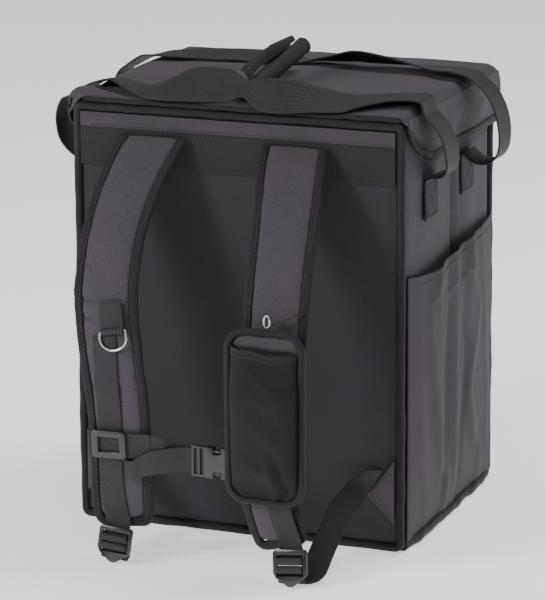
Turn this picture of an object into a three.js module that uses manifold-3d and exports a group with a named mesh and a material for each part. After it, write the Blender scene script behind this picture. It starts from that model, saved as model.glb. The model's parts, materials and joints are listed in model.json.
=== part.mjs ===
// Insulated delivery backpack: a padded box bag with a soft lid, two carrying handles,
// two shoulder straps with a phone pouch, a sternum strap and a side pocket.
// Millimetres, +Z up, origin on the floor under the middle of the bag.
// The strap side faces -Y and the side pocket is on +X.

import * as THREE from 'three';
import Module from 'manifold-3d';
import { mergeVertices } from 'three/addons/utils/BufferGeometryUtils.js';

const wasm = await Module();
wasm.setup();

// Driving dimensions of the bag
const bagWidth = 346;
const bagDepth = 286;
const bagHeight = 435;
const panelThickness = 8;
const bindingDiameter = 9;
const panelInset = 1.2;
const sideCrown = 3;
const creaseDepth = 4;
const clothThickness = 1.8;
const clearance = 0.3;

// Lid
const lidThickness = 10;
const lidFrontRise = 5.5;
const lidEdgeRise = 11;
const lidPuff = 8;
const lidCornerDrop = 3;
const cornerBulge = 13;
const cornerRise = 5;
const skirtDrop = 50;
const skirtStandoff = 0.4;
const hemWidth = 9;
const hemThickness = 3.4;

// Webbing and tape
const wideWebbing = 38;
const narrowWebbing = 25;
const webbingThickness = 1.8;
const tapeWidth = 9;

// Shoulder straps
const padWidth = 70;
const padThickness = 9;
const padTapeThickness = 5.5;
const strapReach = 113;
const topStripHeight = 14.5;

// Handles
const nearLoopOut = 27;
const farLoopOut = 40;
const nearLeftLoopOut = 45;
const patchHeight = 42;

// Hardware
const ringWire = 2.5;
const ringWidth = 30.5;
const ringHeight = 22.5;
const tabLength = 27;
const tabWidth = 23.5;
const lockWidth = 35;
const lockHeight = 36;
const lockThickness = 4;
const lockBar = 3;
const lockSlot = 5;
const lockHead = 5;
const buckleHeight = 31;
const buckleThickness = 9;
const frameLength = 15;
const socketLength = 20;
const sliderWidth = 36;
const sliderHeight = 28;
const sliderThickness = 3;

// Pouch on the right shoulder strap
const pouchWidth = 84;
const pouchHeight = 177;
const pouchBack = 4;
const pouchBinding = 8;
const pouchRadius = 22;
const pouchDepth = 22;
const meshThickness = 1.2;
const pouchCentreX = 75;
const pouchCentreZ = 165;

// Side pocket
const pocketHeight = 276;
const pocketBulge = 9;
const pocketGape = 11;
const pocketFold = 3.4;

// Grip wrap
const wrapRadius = 6.5;
const wrapGather = 0.6;
const wrapLength = 116;

// Planes and half sizes that the pieces share
const halfWidth = bagWidth / 2;
const halfDepth = bagDepth / 2;
const faceY = -(halfDepth - panelInset);
const sideX = halfWidth - panelInset;
const insideX = sideX - panelThickness;
const insideY = halfDepth - panelInset - panelThickness;
const faceHalfWidth = halfWidth - bindingDiameter - clearance;
const faceBottom = bindingDiameter + clearance;
const faceTop = bagHeight - bindingDiameter - clearance;
const sideEndY = insideY - clearance;

const colours = {
  cloth: { color: 0x3d393f, roughness: 0.85, metalness: 0 },
  webbing: { color: 0x2b2c2e, roughness: 0.8, metalness: 0 },
  binding: { color: 0x242527, roughness: 0.85, metalness: 0 },
  mesh: { color: 0x222228, roughness: 0.9, metalness: 0 },
  plastic: { color: 0x151517, roughness: 0.4, metalness: 0 },
  metal: { color: 0xc9c9cc, roughness: 0.25, metalness: 1 },
};

const backpack = new THREE.Group();

function addPiece(name, geometry, finish) {
  const mesh = new THREE.Mesh(geometry, new THREE.MeshStandardMaterial(colours[finish]));
  mesh.name = name;
  backpack.add(mesh);
  return mesh;
}

const at = (x, y, z) => new THREE.Vector3(x, y, z);
const sum = (a, b, share = 1) => a.clone().addScaledVector(b, share);
const shares = (count) => Array.from({ length: count + 1 }, (_, i) => i / count);
const smooth = (value) => THREE.MathUtils.smoothstep(value, 0, 1);

// Value of a table column at a place along its first column
function lookUp(rows, key, column, place) {
  const last = rows.length - 1;
  if (place <= rows[0][key]) return rows[0][column];
  for (let i = 0; i < last; i += 1) {
    const from = rows[i];
    const to = rows[i + 1];
    if (place <= to[key]) {
      return THREE.MathUtils.mapLinear(place, from[key], to[key], from[column], to[column]);
    }
  }
  return rows[last][column];
}

const table = (columns, rows) => rows.map((row) => (
  Object.fromEntries(columns.map((column, i) => [column, row[i]]))
));

// Smooth curve through the rows of a table, sampled at a share from 0 to 1
function along(rows, columns, share) {
  const place = share * (rows.length - 1);
  const i = Math.min(Math.floor(place), rows.length - 2);
  const t = place - i;
  const value = {};
  for (const column of columns) {
    const p1 = rows[i][column];
    const p2 = rows[i + 1][column];
    const p0 = i > 0 ? rows[i - 1][column] : 2 * p1 - p2;
    const p3 = i < rows.length - 2 ? rows[i + 2][column] : 2 * p2 - p1;
    const m1 = (p2 - p0) / 2;
    const m2 = (p3 - p1) / 2;
    const t2 = t * t;
    const t3 = t2 * t;
    value[column] = (2 * t3 - 3 * t2 + 1) * p1 + (t3 - 2 * t2 + t) * m1
      + (3 * t2 - 2 * t3) * p2 + (t3 - t2) * m2;
  }
  return value;
}

// Closed body between two grids of points, the faces turned outwards
function closedBody(outer, inner, ring = false) {
  const rows = outer.length;
  const columns = outer[0].length;
  const positions = [];
  for (const grid of [outer, inner]) {
    for (const row of grid) {
      for (const point of row) positions.push(point.x, point.y, point.z);
    }
  }
  const count = rows * columns;
  const out = (i, j) => (i % rows) * columns + j;
  const inn = (i, j) => count + out(i, j);
  const faces = [];
  const quad = (a, b, c, d) => faces.push(a, b, c, a, c, d);
  const lastRow = ring ? rows : rows - 1;
  for (let i = 0; i < lastRow; i += 1) {
    for (let j = 0; j < columns - 1; j += 1) {
      quad(out(i, j), out(i + 1, j), out(i + 1, j + 1), out(i, j + 1));
      quad(inn(i, j), inn(i, j + 1), inn(i + 1, j + 1), inn(i + 1, j));
    }
    quad(out(i + 1, 0), out(i, 0), inn(i, 0), inn(i + 1, 0));
    quad(out(i, columns - 1), out(i + 1, columns - 1), inn(i + 1, columns - 1), inn(i, columns - 1));
  }
  if (!ring) {
    for (let j = 0; j < columns - 1; j += 1) {
      quad(out(0, j), out(0, j + 1), inn(0, j + 1), inn(0, j));
      quad(out(rows - 1, j + 1), out(rows - 1, j), inn(rows - 1, j), inn(rows - 1, j + 1));
    }
  }
  return facingOut(positions, faces);
}

function facingOut(positions, faces) {
  const corner = (k) => at(positions[3 * k], positions[3 * k + 1], positions[3 * k + 2]);
  let volume = 0;
  for (let f = 0; f < faces.length; f += 3) {
    volume += corner(faces[f]).dot(corner(faces[f + 1]).cross(corner(faces[f + 2])));
  }
  if (volume < 0) {
    for (let f = 0; f < faces.length; f += 3) {
      const swap = faces[f + 1];
      faces[f + 1] = faces[f + 2];
      faces[f + 2] = swap;
    }
  }
  const geometry = new THREE.BufferGeometry();
  geometry.setAttribute('position', new THREE.Float32BufferAttribute(positions, 3));
  geometry.setIndex(faces);
  geometry.computeVertexNormals();
  return geometry;
}

// Flat strap between two edge lines, half its thickness to each side
function strip(left, right, thickness) {
  const outer = [];
  const inner = [];
  const last = left.length - 1;
  left.forEach((edge, i) => {
    const before = sum(left[Math.max(i - 1, 0)], right[Math.max(i - 1, 0)]);
    const after = sum(left[Math.min(i + 1, last)], right[Math.min(i + 1, last)]);
    const run = after.sub(before);
    const across = sum(right[i], edge, -1);
    const lift = run.cross(across).setLength(thickness / 2);
    outer.push([sum(edge, lift), sum(right[i], lift)]);
    inner.push([sum(edge, lift, -1), sum(right[i], lift, -1)]);
  });
  return closedBody(outer, inner);
}

// Strap along centre points, each with the direction of its width
function ribbon(stations, thickness) {
  const left = stations.map((s) => sum(s.centre, s.across, -s.width / 2));
  const right = stations.map((s) => sum(s.centre, s.across, s.width / 2));
  return strip(left, right, thickness);
}

// Round wire or bead through points; a ring joins its last point to its first
function wire(points, radius, sides, ring) {
  const last = points.length - 1;
  const faces = [];
  const positions = [];
  const runs = points.map((point, i) => {
    const before = ring ? points[(i + last) % (last + 1)] : points[Math.max(i - 1, 0)];
    const after = ring ? points[(i + 1) % (last + 1)] : points[Math.min(i + 1, last)];
    const into = sum(point, before, -1).normalize();
    const away = sum(after, point, -1).normalize();
    return sum(into, away).normalize();
  });
  let normal = Math.abs(runs[0].z) < 0.9 ? at(0, 0, 1) : at(0, 1, 0);
  points.forEach((point, i) => {
    const run = runs[i];
    normal = sum(normal, run, -normal.dot(run)).normalize();
    const side = run.clone().cross(normal);
    for (let k = 0; k < sides; k += 1) {
      const angle = (2 * Math.PI * (k + 0.5)) / sides;
      const spot = sum(sum(point, normal, radius * Math.cos(angle)), side, radius * Math.sin(angle));
      positions.push(spot.x, spot.y, spot.z);
    }
  });
  const spans = ring ? last + 1 : last;
  for (let i = 0; i < spans; i += 1) {
    const next = (i + 1) % (last + 1);
    for (let k = 0; k < sides; k += 1) {
      const k2 = (k + 1) % sides;
      const a = i * sides + k;
      const b = i * sides + k2;
      const c = next * sides + k2;
      const d = next * sides + k;
      faces.push(a, b, c, a, c, d);
    }
  }
  if (!ring) {
    for (let k = 1; k < sides - 1; k += 1) {
      faces.push(0, k + 1, k);
      faces.push(last * sides, last * sides + k, last * sides + k + 1);
    }
  }
  return facingOut(positions, faces);
}

// Solid for manifold's joins and cuts, and back again
function toSolid(geometry) {
  const bare = geometry.clone();
  bare.deleteAttribute('normal');
  bare.deleteAttribute('uv');
  const merged = mergeVertices(bare, 1e-4);
  return new wasm.Manifold(new wasm.Mesh({
    numProp: 3,
    vertProperties: new Float32Array(merged.attributes.position.array),
    triVerts: new Uint32Array(merged.index.array),
  }));
}

function fromSolid(solid) {
  const mesh = solid.getMesh();
  const geometry = new THREE.BufferGeometry();
  geometry.setAttribute('position', new THREE.BufferAttribute(new Float32Array(mesh.vertProperties), 3));
  geometry.setIndex(new THREE.BufferAttribute(new Uint32Array(mesh.triVerts), 1));
  geometry.computeVertexNormals();
  return geometry;
}

function block(from, to) {
  const size = sum(to, from, -1);
  const geometry = new THREE.BoxGeometry(size.x, size.y, size.z);
  const middle = sum(from, to).multiplyScalar(0.5);
  geometry.translate(middle.x, middle.y, middle.z);
  return geometry;
}

function roundedRectangle(width, height, radius) {
  const x = width / 2;
  const y = height / 2;
  const shape = new THREE.Shape();
  shape.moveTo(x, -y + radius);
  shape.lineTo(x, y - radius);
  shape.absarc(x - radius, y - radius, radius, 0, Math.PI / 2);
  shape.lineTo(-x + radius, y);
  shape.absarc(-x + radius, y - radius, radius, Math.PI / 2, Math.PI);
  shape.lineTo(-x, -y + radius);
  shape.absarc(-x + radius, -y + radius, radius, Math.PI, 1.5 * Math.PI);
  shape.lineTo(x - radius, -y);
  shape.absarc(x - radius, -y + radius, radius, 1.5 * Math.PI, 2 * Math.PI);
  return shape;
}

// Outward face of a side panel: crowned, with one upright crease on the right
const creaseMiddle = 0.035 * halfDepth;
const creaseHalf = 0.112 * halfDepth;

function sideFace(side, y, z) {
  const u = y / sideEndY;
  const w = THREE.MathUtils.clamp((2 * z) / bagHeight - 1, -1, 1);
  const crown = sideCrown * Math.max(0, 1 - u * u) * (1 - w * w);
  const near = Math.max(0, 1 - Math.abs(y - creaseMiddle) / creaseHalf);
  const high = smooth((z / bagHeight - 0.45) / 0.2);
  const crease = side > 0 ? creaseDepth * smooth(near) * high : 0;
  return sideX + crown - crease;
}

function makePanels() {
  const face = block(
    at(-faceHalfWidth, faceY, faceBottom),
    at(faceHalfWidth, faceY + panelThickness, faceTop),
  );
  addPiece('panel_strap_side', face, 'cloth');

  const farOuter = shares(8).map((s) => shares(8).map((t) => {
    const crown = sideCrown * (1 - (2 * s - 1) ** 2) * (1 - (2 * t - 1) ** 2);
    return at(
      THREE.MathUtils.lerp(-faceHalfWidth, faceHalfWidth, s),
      -faceY + crown,
      THREE.MathUtils.lerp(faceBottom, faceTop, t),
    );
  }));
  const farInner = farOuter.map((row) => row.map((p) => at(p.x, -faceY - panelThickness, p.z)));
  addPiece('panel_far_side', closedBody(farOuter, farInner), 'cloth');

  for (const [side, name] of [[-1, 'panel_left'], [1, 'panel_right']]) {
    const columns = 20;
    const levels = 10;
    const outer = shares(columns).map((s) => shares(levels).map((t) => {
      const y = THREE.MathUtils.lerp(-sideEndY, sideEndY, s);
      const z = THREE.MathUtils.lerp(faceBottom, bagHeight, t);
      return at(side * sideFace(side, y, z), y, z);
    }));
    const inner = outer.map((row) => row.map((p) => at(side * (sideX - panelThickness), p.y, p.z)));
    addPiece(name, closedBody(outer, inner), 'cloth');
  }

  const baseX = halfWidth - bindingDiameter - clearance;
  const baseY = halfDepth - bindingDiameter - clearance;
  addPiece('panel_base', block(at(-baseX, -baseY, 0), at(baseX, baseY, panelThickness)), 'cloth');
}

// Piped binding round the two big faces and along the foot of the sides
function makeBindings() {
  const radius = bindingDiameter / 2;
  const x = halfWidth - radius;
  const y = halfDepth - radius;
  const low = radius;
  const high = bagHeight - radius;
  const turn = 1.2 * radius;
  for (const [side, name] of [[-1, 'binding_strap_side'], [1, 'binding_far_side']]) {
    const outline = [];
    const corners = [[x, low, -90], [x, high, 0], [-x, high, 90], [-x, low, 180]];
    for (const [cx, cz, start] of corners) {
      for (const s of shares(3)) {
        const angle = THREE.MathUtils.degToRad(start + 90 * s);
        const px = cx - Math.sign(cx) * turn + turn * Math.cos(angle);
        const pz = cz + (cz === low ? turn : -turn) + turn * Math.sin(angle);
        outline.push(at(px, side * y, pz));
      }
    }
    addPiece(name, wire(outline, radius / Math.cos(Math.PI / 8), 8, true), 'binding');
  }
  const endY = halfDepth - bindingDiameter - clearance;
  for (const [side, name] of [[-1, 'binding_base_left'], [1, 'binding_base_right']]) {
    const ends = [at(side * x, -endY, low), at(side * x, endY, low)];
    addPiece(name, wire(ends, radius / Math.cos(Math.PI / 8), 8, false), 'binding');
  }
}

// Fabric strip, webbing band and corner patches on the strap-side face
const bandTop = faceTop - topStripHeight - clearance;
const bandOuterY = faceY - clearance - webbingThickness;
const patchShape = table(['x', 'z'], [[0.945, 0.22], [0.786, 0.132], [0.945, 0.069]]);

function makeFaceTrim() {
  const strap = faceY - clearance;
  addPiece('top_strip', block(
    at(-faceHalfWidth, strap - clothThickness, faceTop - topStripHeight),
    at(faceHalfWidth, strap, faceTop),
  ), 'cloth');
  addPiece('webbing_band', block(
    at(-faceHalfWidth, bandOuterY, bandTop - wideWebbing),
    at(faceHalfWidth, strap, bandTop),
  ), 'webbing');
  for (const [side, name] of [[-1, 'corner_patch_left'], [1, 'corner_patch_right']]) {
    const shape = new THREE.Shape(patchShape.map((p) => new THREE.Vector2(
      side * p.x * halfWidth,
      p.z * bagHeight,
    )));
    const patch = new THREE.ExtrudeGeometry(shape, { depth: clothThickness, bevelEnabled: false });
    patch.rotateX(Math.PI / 2);
    patch.translate(0, strap, 0);
    addPiece(name, patch, 'cloth');
  }
}

// Top of the lid: low along its hinge at the strap side, puffed in the middle
const lidHalfX = halfWidth + skirtStandoff + clothThickness;
const lidFrontY = -(halfDepth - bindingDiameter / 2);
const lidBackY = halfDepth + skirtStandoff + clothThickness;
const lidDents = table(['x', 'y', 'depth', 'reach'], [
  [-0.7, -0.72, 0.85, 0.26],
  [-0.45, -0.3, 0.2, 0.22],
  [0.5, 0.05, 0.22, 0.3],
  [0.86, 0.72, 0.2, 0.16],
  [-0.8, 0.85, 0.25, 0.4],
  [-0.15, 0.5, 0.15, 0.25],
]);
const lidColumns = [
  -1, -0.97, -0.9, -0.78, -0.62, -0.45, -0.28, -0.1, 0.1, 0.28, 0.45, 0.62, 0.78, 0.9, 0.97, 1,
];
const lidRows = [0, 0.04, 0.09, 0.15, 0.23, 0.34, 0.46, 0.58, 0.7, 0.82, 0.92, 0.98, 1];

// Share of the loose bulge at the near left corner of the lid
function cornerSlack(u, v) {
  return smooth((-u - 0.6) / 0.4) * smooth((0.18 - v) / 0.13) * (0.7 + 0.3 * smooth(v / 0.04));
}

function lidHeight(u, v) {
  const ramp = THREE.MathUtils.lerp(lidFrontRise, lidEdgeRise, smooth(v / 0.16));
  const puff = lidPuff * (1 - Math.abs(u) ** 3) * Math.sin(Math.PI * v ** 0.8) ** 0.7;
  let dent = 0;
  for (const d of lidDents) {
    const far = Math.hypot(u - d.x, 2 * v - 1 - d.y) / d.reach;
    dent += lidPuff * d.depth * Math.exp(-far * far);
  }
  const edge = smooth((Math.abs(u) - 0.95) / 0.05) + smooth((v - 0.96) / 0.04);
  const loose = cornerRise * cornerSlack(u, v);
  return bagHeight + ramp + puff + loose - dent * Math.min(1, 8 * v) - lidCornerDrop * Math.min(1, edge);
}

const lidGrid = lidColumns.map((u) => lidRows.map((v) => at(
  u * lidHalfX - cornerBulge * cornerSlack(u, v),
  THREE.MathUtils.lerp(lidFrontY, lidBackY, v),
  lidHeight(u, v),
)));

// Height of the faceted lid over a point, or of its edge beyond it
function lidTopAt(x, y) {
  const v = THREE.MathUtils.clamp((y - lidFrontY) / (lidBackY - lidFrontY), 0, 1);
  const slack = cornerBulge * cornerSlack(x / lidHalfX, v);
  const u = THREE.MathUtils.clamp((x + slack) / lidHalfX, -1, 1);
  const i = Math.min(lidColumns.findLastIndex((c) => c <= u), lidColumns.length - 2);
  const j = Math.min(lidRows.findLastIndex((r) => r <= v), lidRows.length - 2);
  const s = (u - lidColumns[i]) / (lidColumns[i + 1] - lidColumns[i]);
  const t = (v - lidRows[j]) / (lidRows[j + 1] - lidRows[j]);
  const low = THREE.MathUtils.lerp(lidGrid[i][j].z, lidGrid[i + 1][j].z, s);
  const high = THREE.MathUtils.lerp(lidGrid[i][j + 1].z, lidGrid[i + 1][j + 1].z, s);
  return THREE.MathUtils.lerp(low, high, t);
}

const lidUnder = bagHeight + clearance;
const skirtTop = Math.max(lidUnder, bagHeight + lidEdgeRise - lidCornerDrop - lidThickness) - clearance;

// Hem of the skirt along a side, from the hinge corner to the far corner
const hemLine = table(['y', 'drop'], [
  [-0.985, 0.1], [-0.9, 0.42], [-0.8, 0.62], [-0.71, 0.76], [-0.6, 0.88], [-0.46, 1.01],
  [-0.2, 1.02], [0.05, 0.98], [0.3, 1], [0.55, 1.02], [0.8, 0.99], [1, 1],
]);

function makeLid() {
  const inner = lidGrid.map((row) => row.map((p) => at(p.x, p.y, Math.max(lidUnder, p.z - lidThickness))));
  addPiece('lid_top', closedBody(lidGrid, inner), 'cloth');

  const hemLow = [];
  const hemHigh = [];
  const outward = [];
  const skirts = { lid_skirt_left: [], lid_skirt_far: [], lid_skirt_right: [] };
  const addColumn = (name, low, high, out) => {
    hemLow.push(low);
    hemHigh.push(high);
    outward.push(out);
    skirts[name].push({ high, out });
  };
  const farFaceY = -faceY + sideCrown + skirtStandoff;
  const sideColumns = (side) => hemLine.map((row) => {
    const y = row.y * (farFaceY - hemThickness);
    const z = skirtTop - 2 - row.drop * (skirtTop - bagHeight + skirtDrop - 2);
    const loose = cornerBulge * cornerSlack(side < 0 ? -1 : 0, (y - lidFrontY) / (lidBackY - lidFrontY));
    const x = side * (sideX + sideCrown / 2 + skirtStandoff + loose);
    return at(x, y, z);
  });
  const raised = (columns) => columns.map((low, i) => {
    const before = columns[Math.max(i - 1, 0)];
    const after = columns[Math.min(i + 1, columns.length - 1)];
    const run = sum(after, before, -1).normalize();
    const share = Math.min(1, (skirtTop - low.z) / (2 * hemWidth));
    return at(low.x, low.y - run.z * hemWidth * share, low.z + Math.abs(run.y) * hemWidth * share);
  });
  const left = sideColumns(-1);
  const leftHigh = raised(left);
  left.forEach((low, i) => addColumn('lid_skirt_left', low, leftHigh[i], at(-1, 0, 0)));
  const hemZ = left[left.length - 1].z;
  for (const s of shares(6)) {
    const x = THREE.MathUtils.lerp(-1, 1, s) * (sideX + sideCrown / 2 + skirtStandoff - hemThickness);
    const low = at(x, farFaceY, hemZ);
    addColumn('lid_skirt_far', low, at(x, farFaceY, hemZ + hemWidth), at(0, 1, 0));
  }
  const right = sideColumns(1);
  const rightHigh = raised(right);
  right.forEach((_, i) => {
    const k = right.length - 1 - i;
    addColumn('lid_skirt_right', right[k], rightHigh[k], at(1, 0, 0));
  });

  for (const [name, columns] of Object.entries(skirts)) {
    const foot = columns.map((c) => shares(3).map((t) => {
      const low = c.high.z + clearance;
      const z = THREE.MathUtils.lerp(low, Math.max(skirtTop, low + 1), t);
      return at(c.high.x, c.high.y, z);
    }));
    const outerFace = foot.map((row, i) => row.map((p) => sum(p, columns[i].out, clothThickness)));
    addPiece(name, closedBody(outerFace, foot), 'cloth');
  }
  const inside = hemLow.map((low, i) => [low, hemHigh[i]]);
  const outside = inside.map((row, i) => row.map((p) => sum(p, outward[i], hemThickness)));
  addPiece('lid_hem_binding', closedBody(outside, inside), 'binding');
}

// Carrying handles: sewn down the side, out in a loop, up and over the lid
const loopColumns = ['out', 'z', 'tilt'];
const sideLoops = {
  nearRight: { y: -0.465, lean: -0.17, out: nearLoopOut, rows: table(loopColumns, [
    [0.1, 0.846, 0], [0.3, 0.852, 0], [0.7, 0.858, 0], [0.95, 0.875, 0], [1.02, 0.905, 0],
    [0.98, 0.937, 0], [0.8, 0.968, 0], [0.52, 0.995, 0], [0.15, 1.014, 0],
  ]) },
  farRight: { y: 0.325, lean: 0.01, out: farLoopOut, rows: table(loopColumns, [
    [0.08, 0.855, 0], [0.36, 0.836, 0], [0.72, 0.836, 0], [0.96, 0.856, 0], [1.04, 0.888, 0],
    [1, 0.93, 0], [0.84, 0.975, 0], [0.56, 1.01, 0], [0.22, 1.032, 0],
  ]) },
  nearLeft: { y: -0.465, lean: -0.12, out: nearLeftLoopOut, rows: table(loopColumns, [
    [0.06, 0.84, 0], [0.35, 0.832, 0], [0.68, 0.846, 0], [0.93, 0.876, 0], [1, 0.91, -2],
    [0.97, 0.946, -5], [0.8, 0.978, -8], [0.52, 1.003, -8], [0.2, 1.018, -5],
  ]) },
  farLeft: { y: 0.325, lean: 0.01, out: farLoopOut, rows: table(loopColumns, [
    [0.08, 0.85, 0], [0.4, 0.848, 0], [0.75, 0.87, 0], [0.95, 0.905, 0], [0.97, 0.945, 0],
    [0.85, 0.981, -2], [0.6, 1.01, -6], [0.25, 1.03, -10],
  ]) },
};
const nearOver = table(['x', 'y', 'tilt', 'lift', 'width'], [
  [0.87, -0.69, 0, 0.1, 1], [0.74, -0.78, 6, 0, 1], [0.58, -0.88, 18, 0, 1], [0.4, -0.94, 34, -0.15, 1],
  [0.26, -0.955, 54, -0.5, 0.97], [0.12, -0.95, 62, -0.5, 0.88], [0.03, -0.92, 66, 0, 0.72],
  [-0.08, -0.91, 64, 0, 0.88], [-0.28, -0.91, 55, -0.1, 1], [-0.5, -0.88, 22, 0, 1],
  [-0.72, -0.76, -2, 0, 1], [-0.88, -0.64, -8, 0, 1],
]);
const farOver = table(['x', 'y', 'tilt', 'lift', 'width'], [
  [0.93, 0.33, -2, 0.4, 1], [0.82, 0.34, -4, 0.2, 1], [0.66, 0.34, -12, 0.1, 1],
  [0.5, 0.33, -22, 0, 1], [0.32, 0.31, -28, 0, 0.9], [0.14, 0.3, -16, 0, 0.7],
  [-0.04, 0.28, 0, 0, 0.8], [-0.22, 0.26, 6, 0, 1], [-0.42, 0.26, 6, 0, 1], [-0.62, 0.27, 6, 0, 1],
  [-0.8, 0.3, 2, 0.1, 1], [-0.94, 0.32, -4, 0.3, 1],
]);
const liftUnit = 10;

// Height at which a strap of a width and slope lies on the lid
function seatOnLid(x, y, across, width) {
  let z = -Infinity;
  for (const k of [-0.5, -0.25, 0, 0.25, 0.5]) {
    for (const near of [-0.2, 0, 0.2]) {
      z = Math.max(z, lidTopAt(x + near * width, y + k * width * across.y) - k * width * across.z);
    }
  }
  return z + 4 * clearance + webbingThickness / 2 / Math.abs(across.y);
}

function sideStations(side, loop) {
  const stations = [];
  const y = loop.y * halfDepth;
  const startZ = loop.rows[0].z * bagHeight;
  const half = wideWebbing / 2;
  for (const s of shares(3)) {
    const z = THREE.MathUtils.lerp(startZ - patchHeight, startZ - 3, s);
    const reach = Math.max(sideFace(side, y - half, z), sideFace(side, y, z), sideFace(side, y + half, z));
    stations.push({
      centre: at(side * (reach + clearance + webbingThickness / 2), y, z),
      across: at(0, 1, 0),
      width: wideWebbing,
    });
  }
  const steps = 2 * (loop.rows.length - 1);
  for (const s of shares(steps)) {
    const row = along(loop.rows, loopColumns, s);
    const lean = smooth(s) * loop.lean * halfDepth;
    const tilt = THREE.MathUtils.degToRad(row.tilt);
    const across = at(0, Math.cos(tilt), Math.sin(tilt));
    const x = halfWidth + row.out * loop.out;
    const over = s === 1 || (s > 0.8 && x < lidHalfX + 3 * webbingThickness);
    const seats = [0.95, 0.97, 1].map((u) => (
      seatOnLid(side * u * lidHalfX, y + lean, across, wideWebbing)
    ));
    const edge = over ? Math.max(...seats) + webbingThickness / 2 : 0;
    stations.push({
      centre: at(side * x, y + lean, Math.max(row.z * bagHeight, edge)),
      across,
      width: wideWebbing,
    });
  }
  return stations;
}

function overStations(rows) {
  return shares(3 * (rows.length - 1)).map((s) => {
    const row = along(rows, ['x', 'y', 'tilt', 'lift', 'width'], s);
    const tilt = THREE.MathUtils.degToRad(row.tilt);
    const across = at(0, Math.cos(tilt), Math.sin(tilt));
    const width = wideWebbing * row.width;
    const x = row.x * halfWidth;
    const y = row.y * halfDepth;
    const z = seatOnLid(x, y, across, width) + row.lift * liftUnit;
    return { centre: at(x, y, z), across, width };
  });
}

function makeHandles() {
  const join = (right, over, left) => [...right, ...over, ...left.reverse()];
  const nearMiddle = overStations(nearOver);
  const near = join(sideStations(1, sideLoops.nearRight), nearMiddle, sideStations(-1, sideLoops.nearLeft));
  const far = join(
    sideStations(1, sideLoops.farRight),
    overStations(farOver),
    sideStations(-1, sideLoops.farLeft),
  );
  addPiece('handle_near', ribbon(near, webbingThickness), 'webbing');
  addPiece('handle_far', ribbon(far, webbingThickness), 'webbing');
  return nearMiddle;
}

// Grip wrap: a flap folded like a shell, lying back from the near handle
const wrapEnds = table(['x', 'y', 'rise'], [[0.08, -0.8, 5], [0.085, 0.02, 16]]);
const wrapSection = table(['across', 'open'], [
  [0.1, 1.45], [0.62, 1.3], [1.05, 0.9], [1.2, 0.2], [1.02, -0.5], [0.45, -0.95], [-0.3, -1],
  [-0.95, -0.65], [-1.3, 0.1], [-1.5, 1], [-1.75, 2.1],
]);

// Distance along a line at which it leaves the back of a sloping handle
function leaveHandle(stations, start, run) {
  let reach = 0;
  for (let turn = 0; turn < 6; turn += 1) {
    const spot = sum(start, run, reach);
    let k = stations.findIndex((s) => s.centre.x <= spot.x);
    k = Math.max(1, k);
    const from = stations[k - 1];
    const to = stations[k];
    const share = (spot.x - from.centre.x) / (to.centre.x - from.centre.x);
    const centre = from.centre.clone().lerp(to.centre, share);
    const across = from.across.clone().lerp(to.across, share).normalize();
    const normal = sum(to.centre, from.centre, -1).cross(across).normalize();
    if (normal.y < 0) normal.negate();
    const seat = sum(centre, normal, webbingThickness / 2 + 2 * clearance);
    reach = sum(seat, start, -1).dot(normal) / run.dot(normal);
  }
  return reach;
}

function makeWrap(handle) {
  const [low, high] = wrapEnds.map((row) => {
    const x = row.x * halfWidth;
    const y = row.y * halfDepth;
    return at(x, y, lidTopAt(x, y) + wrapRadius + clothThickness + row.rise);
  });
  const run = sum(high, low, -1).normalize();
  const lean = at(-0.62, 0, 0.78);
  const open = sum(lean, run, -lean.dot(run)).normalize();
  const side = run.clone().cross(open);
  const last = wrapSection.length - 1;
  const lines = wrapSection.map((row, i) => {
    const before = wrapSection[Math.max(i - 1, 0)];
    const after = wrapSection[Math.min(i + 1, last)];
    const slope = new THREE.Vector2(after.across - before.across, after.open - before.open).normalize();
    const inward = sum(side.clone().multiplyScalar(-slope.y), open, slope.x).multiplyScalar(clothThickness);
    return [0, 1].map((sheet) => [wrapGather, 1].map((flare) => {
      const rise = row.open * (row.open > 0 ? flare : 1) * wrapRadius;
      return sum(sum(sum(low, side, row.across * wrapRadius), open, rise), inward, sheet);
    }));
  });
  const grids = [0, 1].map((sheet) => shares(6).map((s) => lines.map((pair) => {
    const [near, far] = pair[sheet];
    const start = sum(near, run, leaveHandle(handle, near, run));
    return start.lerp(sum(far, run, wrapLength), s);
  })));
  addPiece('grip_wrap', closedBody(grids[0], grids[1]), 'cloth');
}

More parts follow.
